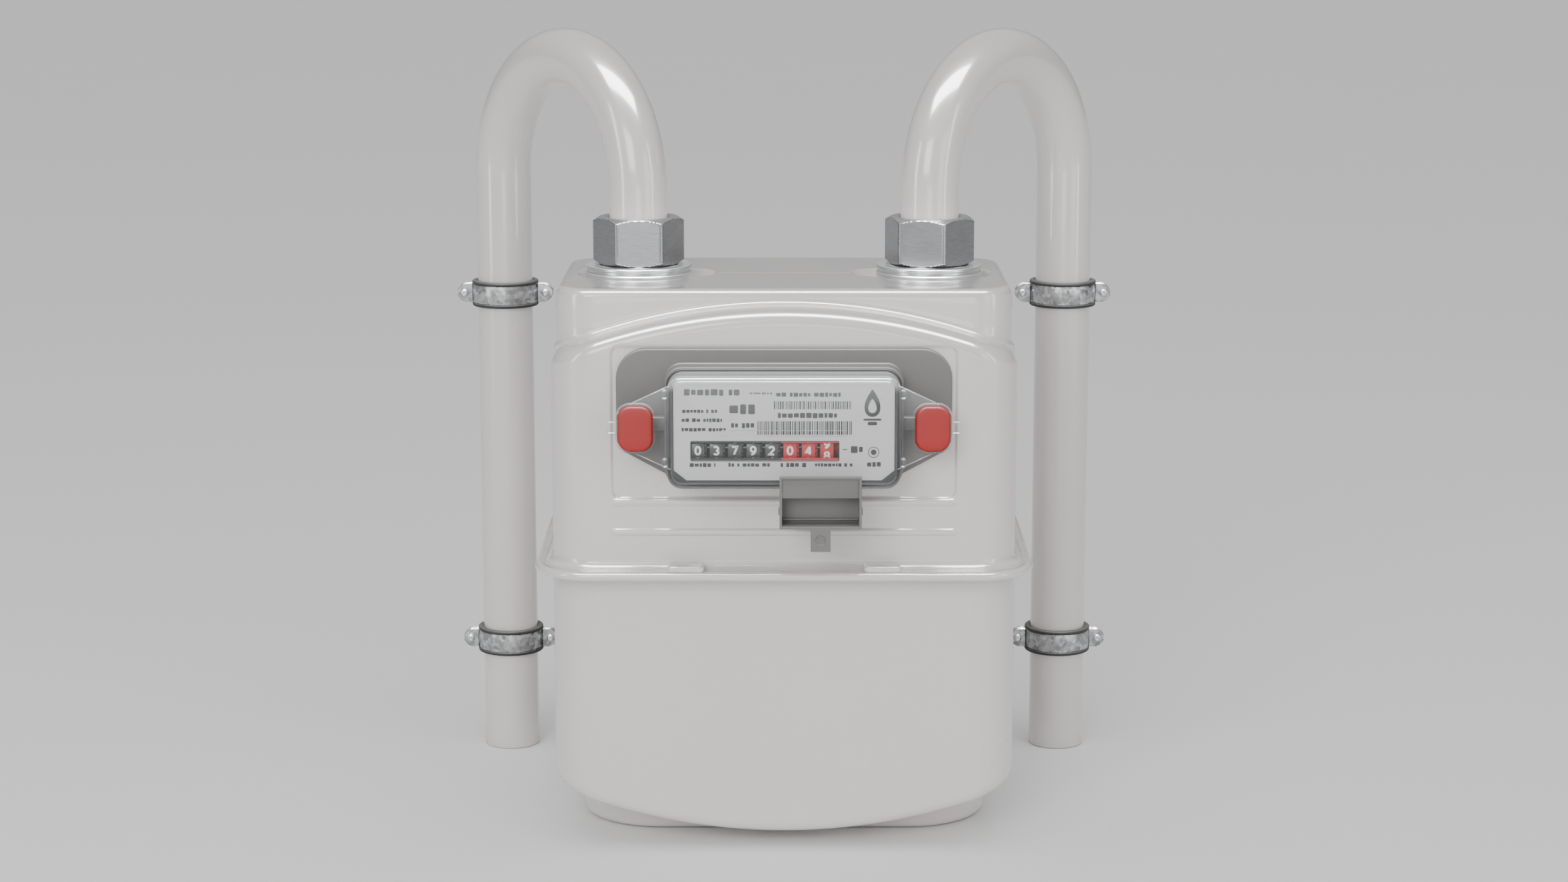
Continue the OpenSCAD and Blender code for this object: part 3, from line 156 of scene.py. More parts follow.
def rounded_rect(w, d, r, sides=(12, 12, 12, 12), corner=10, centre=(0, 0)):
    """Counter-clockwise outline of a rectangle: four quarter circles of radius r joined by straight sides.

    sides gives the number of steps, or the points' shares of the length, on the back, left, front and
    right side, and corner the number of steps on each arc.
    """
    r = max(min(r, w / 2, d / 2), 1e-3)
    a, b = w / 2 - r, d / 2 - r
    middles = np.array([(a, b), (-a, b), (-a, -b), (a, -b)])
    runs = []
    for k in range(4):
        turn = np.radians(90 * k + np.linspace(0, 90, corner + 1))
        arc = middles[k] + r * np.c_[np.cos(turn), np.sin(turn)]
        nxt = np.radians(90 * (k + 1))
        begin = middles[(k + 1) % 4] + r * np.array([np.cos(nxt), np.sin(nxt)])
        t = sides[k] if np.ndim(sides[k]) else np.linspace(0, 1, sides[k] + 1)[1:-1]
        runs += [arc, (1 - t[:, None]) * arc[-1] + t[:, None] * begin]
    return np.vstack(runs) + centre


def round_corners(points, radii, step=6):
    """Outline of a polygon whose corners are arcs: a circle tangent to both sides takes each corner's place."""
    p = np.asarray(points, float)
    out = []
    for k in range(len(p)):
        to_prev, to_next = p[k - 1] - p[k], p[(k + 1) % len(p)] - p[k]
        u, v = to_prev / np.linalg.norm(to_prev), to_next / np.linalg.norm(to_next)
        half = np.arccos(np.clip(u @ v, -1, 1)) / 2
        r = radii[k] if np.ndim(radii) else radii
        bisector = (u + v) / np.linalg.norm(u + v)
        middle = p[k] + bisector * r / np.sin(half)
        start = p[k] + u * r / np.tan(half) - middle
        end = p[k] + v * r / np.tan(half) - middle
        a0 = np.arctan2(start[1], start[0])
        sweep = (np.arctan2(end[1], end[0]) - a0 + np.pi) % (2 * np.pi) - np.pi
        turn = a0 + np.linspace(0, 1, step) * sweep
        out.append(middle + r * np.c_[np.cos(turn), np.sin(turn)])
    return np.vstack(out)


def inset(curve, distance):
    """Moves a counter-clockwise outline inwards: each point goes along the mean normal of its two sides."""
    ahead = np.roll(curve, -1, axis=0) - curve
    ahead /= np.maximum(np.linalg.norm(ahead, axis=1), 1e-9)[:, None]
    normal = np.c_[-ahead[:, 1], ahead[:, 0]]
    mean = normal + np.roll(normal, 1, axis=0)
    mean /= np.maximum(np.linalg.norm(mean, axis=1), 1e-9)[:, None]
    stretch = np.clip((mean * normal).sum(axis=1), 0.4, 1)
    return curve + mean * (distance / stretch)[:, None]


def loft(rings, ends="fan"):
    """Skin over closed rings: neighbouring rings are joined by quads.

    ends closes it with fans to the rings' middles, with flat faces, or by joining the last ring to the first.
    """
    s = np.asarray(rings, float)
    m, n = s.shape[:2]
    verts = s.reshape(-1, 3)
    i = np.arange(m if ends == "loop" else m - 1)[:, None]
    j = np.arange(n)[None, :]
    k = (j + 1) % n
    nxt = (i + 1) % m
    quads = np.stack([i * n + j, i * n + k, nxt * n + k, nxt * n + j], -1).reshape(-1, 4)
    polys = []
    if ends == "flat":
        polys = [list(range(n))[::-1], list(range((m - 1) * n, m * n))]
    if ends == "fan":
        verts = np.vstack([verts, s[0].mean(axis=0), s[-1].mean(axis=0)])
        first = [[(q + 1) % n, q, m * n] for q in range(n)]
        last = [[(m - 1) * n + q, (m - 1) * n + (q + 1) % n, m * n + 1] for q in range(n)]
        polys = first + last
    return verts, quads, polys


def turned_out(verts, quads, polys):
    """Reverses a closed skin whose signed volume is negative, so that its faces point outwards."""
    fans = [np.array([[p[0], p[q], p[q + 1]] for q in range(1, len(p) - 1)]) for p in polys]
    tri = np.vstack([quads[:, [0, 1, 2]], quads[:, [0, 2, 3]]] + fans)
    a, b, c = (verts[tri[:, q]] - verts.mean(axis=0) for q in range(3))
    if np.einsum("ij,ij->i", a, np.cross(b, c)).sum() < 0:
        quads, polys = quads[:, ::-1], [p[::-1] for p in polys]
    return verts, quads, polys


def lathe(profile, middle, axis="z", count=96):
    """Surface of revolution: profile rows are (radius, height along the axis); radius 0 closes an end."""
    p = np.asarray(profile, float)
    turn = np.linspace(0, 2 * np.pi, count, endpoint=False)
    c, s = np.cos(turn), np.sin(turn)
    r, h = np.maximum(p[:, :1], 1e-4), p[:, 1:] + 0 * c
    if axis == "z":
        rings = np.stack([r * c, r * s, h], -1)
    elif axis == "y":
        rings = np.stack([r * c, h, -r * s], -1)
    else:
        rings = np.stack([h, r * c, r * s], -1)
    return rings + np.asarray(middle, float)


def fillet(x0, y0, x1, y1, steps=6, bulge=1):
    """Quarter of an ellipse from one point of a profile to another; bulge -1 makes it hollow."""
    t = np.linspace(0, np.pi / 2, steps)
    if bulge > 0:
        return list(zip(x0 + (x1 - x0) * (1 - np.cos(t)), y0 + (y1 - y0) * np.sin(t)))
    return list(zip(x0 + (x1 - x0) * np.sin(t), y0 + (y1 - y0) * (1 - np.cos(t))))


def level(outline, z):
    """The ring that a plan outline makes at one height."""
    return np.c_[outline, np.full(len(outline), z)]


def facing(outline, steps):
    """Rings of an outline drawn in X and Z: each step is an inset and a place along Y."""
    rings = []
    for step, y in steps:
        ring = outline(step) if callable(outline) else inset(outline, step)
        rings.append(np.c_[ring[:, 0], np.full(len(ring), y), ring[:, 1]])
    return rings


def plate_steps(back, front, radius, steps=5):
    """Steps of a plate between two places along Y, with its front edge rounded."""
    return [(radius * 0.4, back), (0, back - radius * 0.4)] + fillet(0, front + radius, radius, front, steps)


def smooth_step(value, low, high):
    """0 below low, 1 above high and a cubic ease between."""
    t = np.clip((value - low) / (high - low), 0, 1)
    return t * t * (3 - 2 * t)


def box_distance(x, y, half_w, half_h, r):
    """Signed distance to a rectangle with round corners, negative inside."""
    qx, qy = np.abs(x) - half_w + r, np.abs(y) - half_h + r
    return np.hypot(np.maximum(qx, 0), np.maximum(qy, 0)) + np.minimum(np.maximum(qx, qy), 0) - r


# ---------------------------------------------------------------- meshes and pieces

# angle in degrees past which an edge is shaded sharp, where a piece gives none of its own
SHARP = 38.0


def piece(name, skins, materials, body=BODY, replaces=(), sharp=SHARP):
    """Makes one object from closed skins: each is (verts, quads, polys), or that with a material number."""
    verts, loops, totals, numbers, base = [], [], [], [], 0
    for skin in skins:
        number = skin[3] if len(skin) > 3 else 0
        v, quads, polys = turned_out(*skin[:3])
        verts.append(v)
        loops.append((quads + base).ravel())
        totals.append(np.full(len(quads), 4))
        if polys:
            loops.append(np.concatenate([np.asarray(p) for p in polys]) + base)
            totals.append(np.array([len(p) for p in polys]))
        numbers.append(np.full(len(quads) + len(polys), number))
        base += len(v)
    verts = np.vstack(verts) * MM
    loops, totals, numbers = np.concatenate(loops), np.concatenate(totals), np.concatenate(numbers)
    mesh = bpy.data.meshes.new(name)
    mesh.vertices.add(len(verts))
    mesh.vertices.foreach_set("co", verts.ravel())
    mesh.loops.add(len(loops))
    mesh.loops.foreach_set("vertex_index", loops.astype(np.int32))
    mesh.polygons.add(len(totals))
    mesh.polygons.foreach_set("loop_start", np.r_[0, np.cumsum(totals)[:-1]].astype(np.int32))
    mesh.polygons.foreach_set("loop_total", totals.astype(np.int32))
    for material in materials:
        mesh.materials.append(material)
    mesh.polygons.foreach_set("material_index", numbers.astype(np.int32))
    mesh.update(calc_edges=True)
    mesh.validate()
    return placed(name, mesh, body, replaces, sharp)


def placed(name, mesh, body, replaces, sharp):
    """Shades a finished mesh, puts it in the scene and says what it rides on and stands for."""
    work = bmesh.new()
    work.from_mesh(mesh)
    bmesh.ops.remove_doubles(work, verts=work.verts, dist=2e-7)
    bmesh.ops.dissolve_degenerate(work, edges=work.edges, dist=1e-8)
    work.to_mesh(mesh)
    work.free()
    mesh.shade_smooth()
    mesh.set_sharp_from_angle(angle=np.radians(sharp))
    obj = bpy.data.objects.new(name, mesh)
    bpy.context.scene.collection.objects.link(obj)
    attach(obj, body)
    if replaces:
        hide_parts(*replaces)
    return obj


def softened(node, material, width):
    """A copy of a CAD node with its loose triangles merged and its edges rounded by a bevel."""
    mesh = frame["nodes"][node].data.copy()
    mesh.name = node + "_soft"
    work = bmesh.new()
    work.from_mesh(mesh)
    bmesh.ops.remove_doubles(work, verts=work.verts, dist=1e-6)
    bmesh.ops.dissolve_limit(work, angle_limit=np.radians(1.0), verts=work.verts, edges=work.edges)
    work.to_mesh(mesh)
    work.free()
    mesh.materials.clear()
    mesh.materials.append(material)
    obj = placed(node + "_soft", mesh, BODY, (node,), SHARP)
    bevel = obj.modifiers.new("rounded edges", "BEVEL")
    bevel.width = width * MM
    bevel.segments = 2
    bevel.limit_method = "ANGLE"
    bevel.angle_limit = np.radians(35)
    bevel.harden_normals = True
    return obj


# ---------------------------------------------------------------- finishes

def new_group(name, inputs, outputs):
    """An empty node group with float inputs (name, default) and outputs (name, socket type)."""
    group = bpy.data.node_groups.new(name, "ShaderNodeTree")
    for label, value in inputs:
        socket = group.interface.new_socket(label, in_out="INPUT", socket_type="NodeSocketFloat")
        socket.default_value = value
    for label, kind in outputs:
        group.interface.new_socket(label, in_out="OUTPUT", socket_type=kind)
    return group, group.nodes.new("NodeGroupInput"), group.nodes.new("NodeGroupOutput")


def math(tree, kind, a, b=None, clamp=False):
    """A Math node fed by sockets or numbers."""
    node = tree.nodes.new("ShaderNodeMath")
    node.operation = kind
    node.use_clamp = clamp
    for k, value in enumerate((a, b)):
        if value is None:
            continue
        if hasattr(value, "links"):
            tree.links.new(value, node.inputs[k])
        else:
            node.inputs[k].default_value = value
    return node.outputs[0]


def noise(tree, scale, detail=2.0, stretch=None):
    """Noise on Object coordinates; stretch squeezes the coordinates along each axis first."""
    coords = tree.nodes.new("ShaderNodeTexCoord").outputs["Object"]
    if stretch:
        mapping = tree.nodes.new("ShaderNodeMapping")
        mapping.inputs["Scale"].default_value = stretch
        tree.links.new(coords, mapping.inputs["Vector"])
        coords = mapping.outputs["Vector"]
    node = tree.nodes.new("ShaderNodeTexNoise")
    node.inputs["Detail"].default_value = detail
    tree.links.new(coords, node.inputs["Vector"])
    if hasattr(scale, "links"):
        tree.links.new(scale, node.inputs["Scale"])
    else:
        node.inputs["Scale"].default_value = scale
    return node.outputs["Fac"]


def mottle_group():
    """Shade, gloss and height that drift slowly over a surface, with a fine grain on top."""
    group, src, out = new_group(
        "mottle", [("Patch scale", 20.0), ("Grain scale", 900.0), ("Grain share", 0.5), ("Shade drift", 0.04),
                   ("Roughness", 0.3), ("Roughness drift", 0.08)],
        [("Shade", "NodeSocketFloat"), ("Roughness", "NodeSocketFloat"), ("Height", "NodeSocketFloat")])
    patch = noise(group, src.outputs["Patch scale"], 4.0)
    grain = noise(group, src.outputs["Grain scale"], 2.0)
    centred = math(group, "SUBTRACT", patch, 0.5)
    shade = math(group, "ADD", math(group, "MULTIPLY", centred, src.outputs["Shade drift"]), 1.0)
    rough = math(group, "ADD", math(group, "MULTIPLY", centred, src.outputs["Roughness drift"]),
                 src.outputs["Roughness"], clamp=True)
    height = math(group, "ADD", math(group, "MULTIPLY", grain, src.outputs["Grain share"]), patch)
    group.links.new(shade, out.inputs["Shade"])
    group.links.new(rough, out.inputs["Roughness"])
    group.links.new(height, out.inputs["Height"])
    return group


def dust_group():
    """Mask of fine dust: it lies on faces that look up and breaks into specks."""
    group, src, out = new_group("dust", [("Amount", 0.2), ("Speck scale", 260.0)],
                                [("Mask", "NodeSocketFloat")])
    geometry = group.nodes.new("ShaderNodeNewGeometry")
    split = group.nodes.new("ShaderNodeSeparateXYZ")
    group.links.new(geometry.outputs["Normal"], split.inputs[0])
    level = math(group, "MULTIPLY", math(group, "MAXIMUM", split.outputs["Z"], 0.0), src.outputs["Amount"])
    specks = math(group, "MULTIPLY", noise(group, src.outputs["Speck scale"], 5.0), 1.6, clamp=True)
    group.links.new(math(group, "MULTIPLY", level, specks, clamp=True), out.inputs["Mask"])
    return group


def spangle_group():
    """Crystals of hot-dip zinc: each Voronoi cell has its own shade and gloss."""
    group, src, out = new_group("spangle", [("Cell scale", 500.0), ("Contrast", 0.5), ("Roughness", 0.4)],
                                [("Shade", "NodeSocketFloat"), ("Roughness", "NodeSocketFloat")])
    cells = group.nodes.new("ShaderNodeTexVoronoi")
    group.links.new(group.nodes.new("ShaderNodeTexCoord").outputs["Object"], cells.inputs["Vector"])
    group.links.new(src.outputs["Cell scale"], cells.inputs["Scale"])
    split = group.nodes.new("ShaderNodeSeparateColor")
    group.links.new(cells.outputs["Color"], split.inputs[0])
    drift = math(group, "MULTIPLY", math(group, "SUBTRACT", split.outputs[0], 0.5), src.outputs["Contrast"])
    group.links.new(math(group, "ADD", drift, 1.0), out.inputs["Shade"])
    spread = math(group, "MULTIPLY", math(group, "SUBTRACT", split.outputs[1], 0.5), 0.3)
    group.links.new(math(group, "ADD", spread, src.outputs["Roughness"], clamp=True), out.inputs["Roughness"])
    return group


def use(tree, group, **values):
    """Places a node group and sets its inputs; underscores stand for spaces in their names."""
    node = tree.nodes.new("ShaderNodeGroup")
    node.node_tree = bpy.data.node_groups.get(group) or GROUPS[group]()
    for label, value in values.items():
        node.inputs[label.replace("_", " ")].default_value = value
    return node


GROUPS = {"mottle": mottle_group, "dust": dust_group, "spangle": spangle_group}


def tinted(tree, base, shade, dust=None, dust_colour=(0.42, 0.40, 0.37)):
    """Base colour times a shade that varies, with dust laid over it where a mask says."""
    scale = tree.nodes.new("ShaderNodeVectorMath")
    scale.operation = "SCALE"
    scale.inputs[0].default_value = base
    tree.links.new(shade, scale.inputs["Scale"])
    if dust is None:
        return scale.outputs[0]
    mix = tree.nodes.new("ShaderNodeMix")
    mix.data_type = "RGBA"
    tree.links.new(dust, mix.inputs["Factor"])
    tree.links.new(scale.outputs[0], mix.inputs["A"])
    mix.inputs["B"].default_value = (*dust_colour, 1)
    return mix.outputs["Result"]


def finish(name, base, rough=0.4, drift=0.08, metal=0.0, coat=0.0, coat_rough=0.1, patch=20.0, grain=900.0,
           grain_share=0.5, shade=0.05, bump=0.1, bump_depth=0.00002, dust=0.0, spangle=None, brushed=None):
    """An opaque finish: mottled shade and gloss, a fine bump, and dust, spangle or brush marks if given."""
    material = bpy.data.materials.get(name)
    if material:
        return material
    material = bpy.data.materials.new(name)
    material.use_nodes = True
    tree = material.node_tree
    shader = tree.nodes["Principled BSDF"]
    mottle = use(tree, "mottle", Patch_scale=patch, Grain_scale=grain, Grain_share=grain_share,
                 Shade_drift=shade, Roughness=rough, Roughness_drift=drift)
    shade_out, rough_out = mottle.outputs["Shade"], mottle.outputs["Roughness"]
    height = mottle.outputs["Height"]
    if spangle:
        cells = use(tree, "spangle", Cell_scale=spangle, Contrast=0.75, Roughness=rough)
        shade_out = math(tree, "MULTIPLY", shade_out, cells.outputs["Shade"])
        rough_out = cells.outputs["Roughness"]
    if brushed:
        lines = noise(tree, 260.0, 3.0, brushed)
        marks = math(tree, "ADD", math(tree, "MULTIPLY", lines, 0.5), 0.75)
        shade_out = math(tree, "MULTIPLY", shade_out, marks)
        height = math(tree, "ADD", height, math(tree, "MULTIPLY", lines, 1.5))
    mask = use(tree, "dust", Amount=dust, Speck_scale=240.0).outputs["Mask"] if dust else None
    tree.links.new(tinted(tree, base, shade_out, mask), shader.inputs["Base Color"])
    tree.links.new(rough_out, shader.inputs["Roughness"])
    bump_node = tree.nodes.new("ShaderNodeBump")
    bump_node.inputs["Strength"].default_value = bump
    bump_node.inputs["Distance"].default_value = bump_depth
    tree.links.new(height, bump_node.inputs["Height"])
    tree.links.new(bump_node.outputs["Normal"], shader.inputs["Normal"])
    shader.inputs["Metallic"].default_value = metal
    shader.inputs["Coat Weight"].default_value = coat
    shader.inputs["Coat Roughness"].default_value = coat_rough
    shader.inputs["IOR"].default_value = 1.5
    material.diffuse_color = (*base, 1)
    return material


def enamel():
    return finish("enamel", colours().paint, rough=0.26, drift=0.10, coat=0.9, coat_rough=0.09, patch=14.0,
                  grain=420.0, grain_share=0.35, shade=0.05, bump=0.18, bump_depth=0.00006, dust=0.10)


def grey_plastic():
    return finish("grey_moulding", colours().plastic, rough=0.55, drift=0.12, patch=30.0, grain=2600.0,
                  grain_share=0.8, shade=0.10, bump=0.25, bump_depth=0.00003, dust=0.16)


def rubber():
    return finish("black_rubber", colours().rubber, rough=0.62, drift=0.15, patch=60.0, grain=1800.0,
                  shade=0.35, bump=0.35, bump_depth=0.00004, dust=0.25)


def bright_steel():
    return finish("turned_steel", colours().steel, rough=0.27, drift=0.10, metal=1.0, patch=60.0,
                  grain=1500.0, grain_share=0.4, shade=0.22, bump=0.22, bump_depth=0.00003,
                  brushed=(1.0, 1.0, 9.0), dust=0.05)


def zinc():
    return finish("zinc_plate", colours().zinc, rough=0.30, drift=0.14, metal=1.0, patch=80.0, grain=1700.0,
                  shade=0.22, bump=0.15, bump_depth=0.00002, dust=0.10)


def galvanised():
    return finish("galvanised", (0.36, 0.37, 0.375), rough=0.38, metal=0.9, patch=90.0, grain=1500.0,
                  shade=0.25, bump=0.25, bump_depth=0.00003, spangle=620.0, dust=0.12)


def seal_red():
    return finish("red_moulding", colours().seal, rough=0.5, drift=0.10, patch=60.0, grain=2200.0,
                  shade=0.16, bump=0.2, bump_depth=0.00002, dust=0.06)


def dial_white():
    return finish("dial_enamel", colours().dial, rough=0.45, drift=0.06, patch=50.0, grain=2400.0, shade=0.04,
                  bump=0.06, bump_depth=0.00001)


def ink():
    return finish("print_ink", colours().ink, rough=0.5, drift=0.1, patch=200.0, grain=3000.0, shade=0.3,
                  bump=0.05)


def wheel_finish(red):
    base = colours().red if red else colours().black
    return finish("wheel_red" if red else "wheel_black", base, rough=0.5, drift=0.1, patch=200.0,
                  grain=2600.0, shade=0.2, bump=0.1, bump_depth=0.00001)


def digit_white():
    return finish("digit_white", (0.86, 0.86, 0.85), rough=0.42, patch=200.0, grain=2600.0, shade=0.04,
                  bump=0.05)


def acetal():
    return finish("natural_moulding", (0.74, 0.72, 0.66), rough=0.38, drift=0.08, patch=40.0, grain=1800.0,
                  shade=0.06, bump=0.12)


def brass():
    return finish("machined_brass", (0.56, 0.38, 0.13), rough=0.25, drift=0.12, metal=1.0, patch=90.0,
                  grain=1600.0, shade=0.18, bump=0.12, brushed=(1.0, 1.0, 12.0))


def membrane():
    return finish("coated_cloth", (0.03, 0.028, 0.03), rough=0.7, patch=60.0, grain=3200.0, grain_share=1.0,
                  shade=0.4, bump=0.5, bump_depth=0.00006)


def clear_plastic():
    """Clear moulding: nearly invisible face on, more solid at its edges, and more solid and pale where it faces
    up, a painted highlight along its rounded top edge.
    """
    material = bpy.data.materials.get("clear_moulding")
    if material:
        return material
    material = bpy.data.materials.new("clear_moulding")
    material.use_nodes = True
    tree = material.node_tree
    shader = tree.nodes["Principled BSDF"]
    shader.inputs["Base Color"].default_value = (0.72, 0.75, 0.76, 1)
    shader.inputs["Metallic"].default_value = 0.0
    shader.inputs["Coat Weight"].default_value = 1.0
    shader.inputs["Coat Roughness"].default_value = 0.03
    mottle = use(tree, "mottle", Patch_scale=40.0, Grain_scale=500.0, Grain_share=0.2, Shade_drift=0.02,
                 Roughness=0.06, Roughness_drift=0.05)
    tree.links.new(mottle.outputs["Roughness"], shader.inputs["Roughness"])
    weight = tree.nodes.new("ShaderNodeLayerWeight")
    weight.inputs["Blend"].default_value = 0.32
    edge = math(tree, "POWER", weight.outputs["Facing"], 1.6)
    # faces that look up grow more solid and pale: a painted highlight where the cover's rounded top edge would
    # catch the light from above
    split = tree.nodes.new("ShaderNodeSeparateXYZ")
    tree.links.new(tree.nodes.new("ShaderNodeNewGeometry").outputs["Normal"], split.inputs[0])
    painted_top_highlight = math(tree, "MULTIPLY", math(tree, "MAXIMUM", split.outputs["Z"], 0.0), 1.1)
    rim = math(tree, "ADD", math(tree, "MULTIPLY", edge, 0.42), 0.035)
    alpha = math(tree, "ADD", rim, painted_top_highlight, clamp=True)
    tree.links.new(alpha, shader.inputs["Alpha"])
    material.diffuse_color = (0.8, 0.85, 0.86, 0.3)
    return material


# ---------------------------------------------------------------- casing

# height of the index's recess from its foot to its top, its half width, and how deep it is
RECESS_LOW, RECESS_HIGH, RECESS_HALF, RECESS_DEPTH = 132.2, 187.8, 62.4, 0.8
# heights, radius and sunk part of the round beads pressed into the front
BEADS_Z, BEAD_R, BEAD_SUNK = (RECESS_LOW - 1.6, 119.5), 1.6, 0.7
# half the front wall's straight part, and the places of its points: closer at the recess's upright edges
FRONT_HALF = 68.2
EDGE_STEPS = np.arange(60.6, 64.1, 0.28)
FRONT_STEPS = np.union1d(np.arange(-67.2, 67.3, 1.05), np.r_[np.arange(-64.0, -60.4, 0.28), EDGE_STEPS])
CASE_SIDES = (28, 24, (FRONT_STEPS + FRONT_HALF) / (2 * FRONT_HALF), 24)
CASE_CORNER = 14


def arch_height(x):
    """Height of the arch below its crown: a circle about the Y axis."""
    r = sizes().arch
    return r - np.sqrt(r * r - np.minimum(np.abs(x), r) ** 2)


def front_relief(x, z):
    """How far the front wall stands in at (x, z): a shallow recess for the index and two raised beads."""
    half_h = (RECESS_HIGH - RECESS_LOW) / 2
    inside = -box_distance(x, z - (RECESS_LOW + RECESS_HIGH) / 2, RECESS_HALF, half_h, 3.0)
    reach = smooth_step(RECESS_HALF - 0.4 - np.abs(x), -1.0, 1.0)
    beads = sum(np.maximum(np.sqrt(np.maximum(BEAD_R ** 2 - (z - middle) ** 2, 0)) - BEAD_SUNK, 0)
                for middle in BEADS_Z)
    return RECESS_DEPTH * smooth_step(inside, -0.5, 0.6) - beads * reach


def port_pocket(x, y):
    """Depth of the pocket round each port: a circle with a narrower lobe towards the middle."""
    round_r, lobe_r, lobe_reach, depth = 22.2, 12.0, 16.8, 3.0
    px = np.abs(x) - sizes().port_x
    round_part = np.hypot(px, y) - round_r
    lobe = np.hypot(px - np.clip(px, -lobe_reach, 0), y) - lobe_r
    return depth * smooth_step(-np.minimum(round_part, lobe), -0.7, 0.7)


def casing_half(up, flat_z, flat_w, flat_d, corner, relief=None, pocket=None):
    """One pressed half: a flange, a hollow fillet, the wall, an edge that follows the arch, and the plateau.

    Heights are counted from the seam, upwards for the top half and downwards for the bottom one.
    """
    s = sizes()
    flat_h = abs(flat_z - SEAM_Z)
    crown = flat_h - s.arch_drop
    lip, foot, edge = 1.1, 3.0, s.edge
    flange_w, flange_d = CASE_HIGH[0] - CASE_LOW[0], BASE_HIGH[1] - BASE_LOW[1]
    rings = []

    def ring(w, d, r, height, wall=False):
        p = rounded_rect(w, d, r, CASE_SIDES, CASE_CORNER)
        h = height(p[:, 0]) if callable(height) else np.full(len(p), float(height))
        y = p[:, 1].copy()
        if wall and relief:
            front = (y < -s.wall_d / 2 + 0.2) & (np.abs(p[:, 0]) < FRONT_HALF)
            y = np.where(front, y + relief(p[:, 0], SEAM_Z + up * h), y)
        rings.append(np.c_[p[:, 0], y, SEAM_Z + up * h])

    for height in (0, lip):
        ring(flange_w - 0.6, flange_d - 0.6, 20, height)
    for grow, rise in fillet(foot, 0, 0, foot, 7, -1):
        ring(s.wall_w + 2 * grow, s.wall_d + 2 * grow, s.corner + grow, lip + rise)
    base = lip + foot
    top = lambda x: crown - arch_height(x) - edge
    # rows keep one height up to here, closer where the beads lie, and bend to the arch above
    even = 36.0
    fine = np.arange(12.0, 28.5, 0.27) if relief else []
    for h in np.union1d(np.linspace(base, even, 30)[1:], fine):
        ring(s.wall_w, s.wall_d, s.corner, h, wall=True)
    for t in np.linspace(0, 1, 96 if relief else 40)[1:]:
        ring(s.wall_w, s.wall_d, s.corner, lambda x: even + t * (top(x) - even), wall=True)
    for step, rise in fillet(0, 0, edge, edge, 9)[1:]:
        ring(s.wall_w - 2 * step, s.wall_d - 2 * step, s.corner - step, lambda x: top(x) + rise)
    for step in np.linspace(edge, s.wall_d / 2 - 12, 8)[1:]:  # the part that the plateau hides
        ring(s.wall_w - 2 * step, s.wall_d - 2 * step, max(s.corner - step, 2.0), lambda x: top(x) + edge)
    shell = loft(rings)

    rings = []
    reach_x, reach_y = s.wall_w / 2 - 0.3, s.wall_d / 2 - 0.3
    rim, curve = 2.0, 3.0

    def flat_ring(grow, height):
        p = rounded_rect(flat_w + 2 * grow, flat_d + 2 * grow, max(corner + grow, 1.0), (110, 50, 110, 50),
                         CASE_CORNER)
        p = np.c_[np.clip(p[:, 0], -reach_x, reach_x), np.clip(p[:, 1], -reach_y, reach_y)]
        h = height(p) if callable(height) else np.full(len(p), float(height))
        rings.append(np.c_[p, SEAM_Z + up * h])

    ground = lambda p: crown - arch_height(p[:, 0])
    flat_ring(rim, lambda p: ground(p) - 3)
    for grow, rise in fillet(rim, 0, 0, rim, 7, -1):
        flat_ring(grow, lambda p: ground(p) + rise)
    for t in (0.25, 0.5, 0.75, 1.0):
        flat_ring(0, lambda p: (1 - t) * (ground(p) + rim) + t * (flat_h - curve))
    for step, rise in fillet(0, 0, curve, curve, 8)[1:]:
        flat_ring(-step, flat_h - curve + rise)
    dip = (lambda p: flat_h - pocket(p[:, 0], p[:, 1])) if pocket else flat_h
    for step in np.linspace(curve, flat_d / 2 - 0.4, 62 if pocket else 12)[1:]:
        flat_ring(-step, dip)
    return [shell, loft(rings)]


class METER_OT_casing(bpy.types.Operator):
    """Makes the two pressed halves of the casing"""
    bl_idname = "meter.casing"
    bl_label = "Casing"

    def execute(self, context):
        s = sizes()
        top = casing_half(1, CASE_HIGH[2], s.flat_w, s.flat_d, s.flat_r, front_relief, port_pocket)
        piece("top_half", top, [enamel()], replaces=("upper_case",), sharp=60)
        bottom = casing_half(-1, BASE_LOW[2], s.base_w, s.base_d, s.base_r)
        piece("bottom_half", bottom, [enamel()], replaces=("lower_case",), sharp=60)
        return {"FINISHED"}


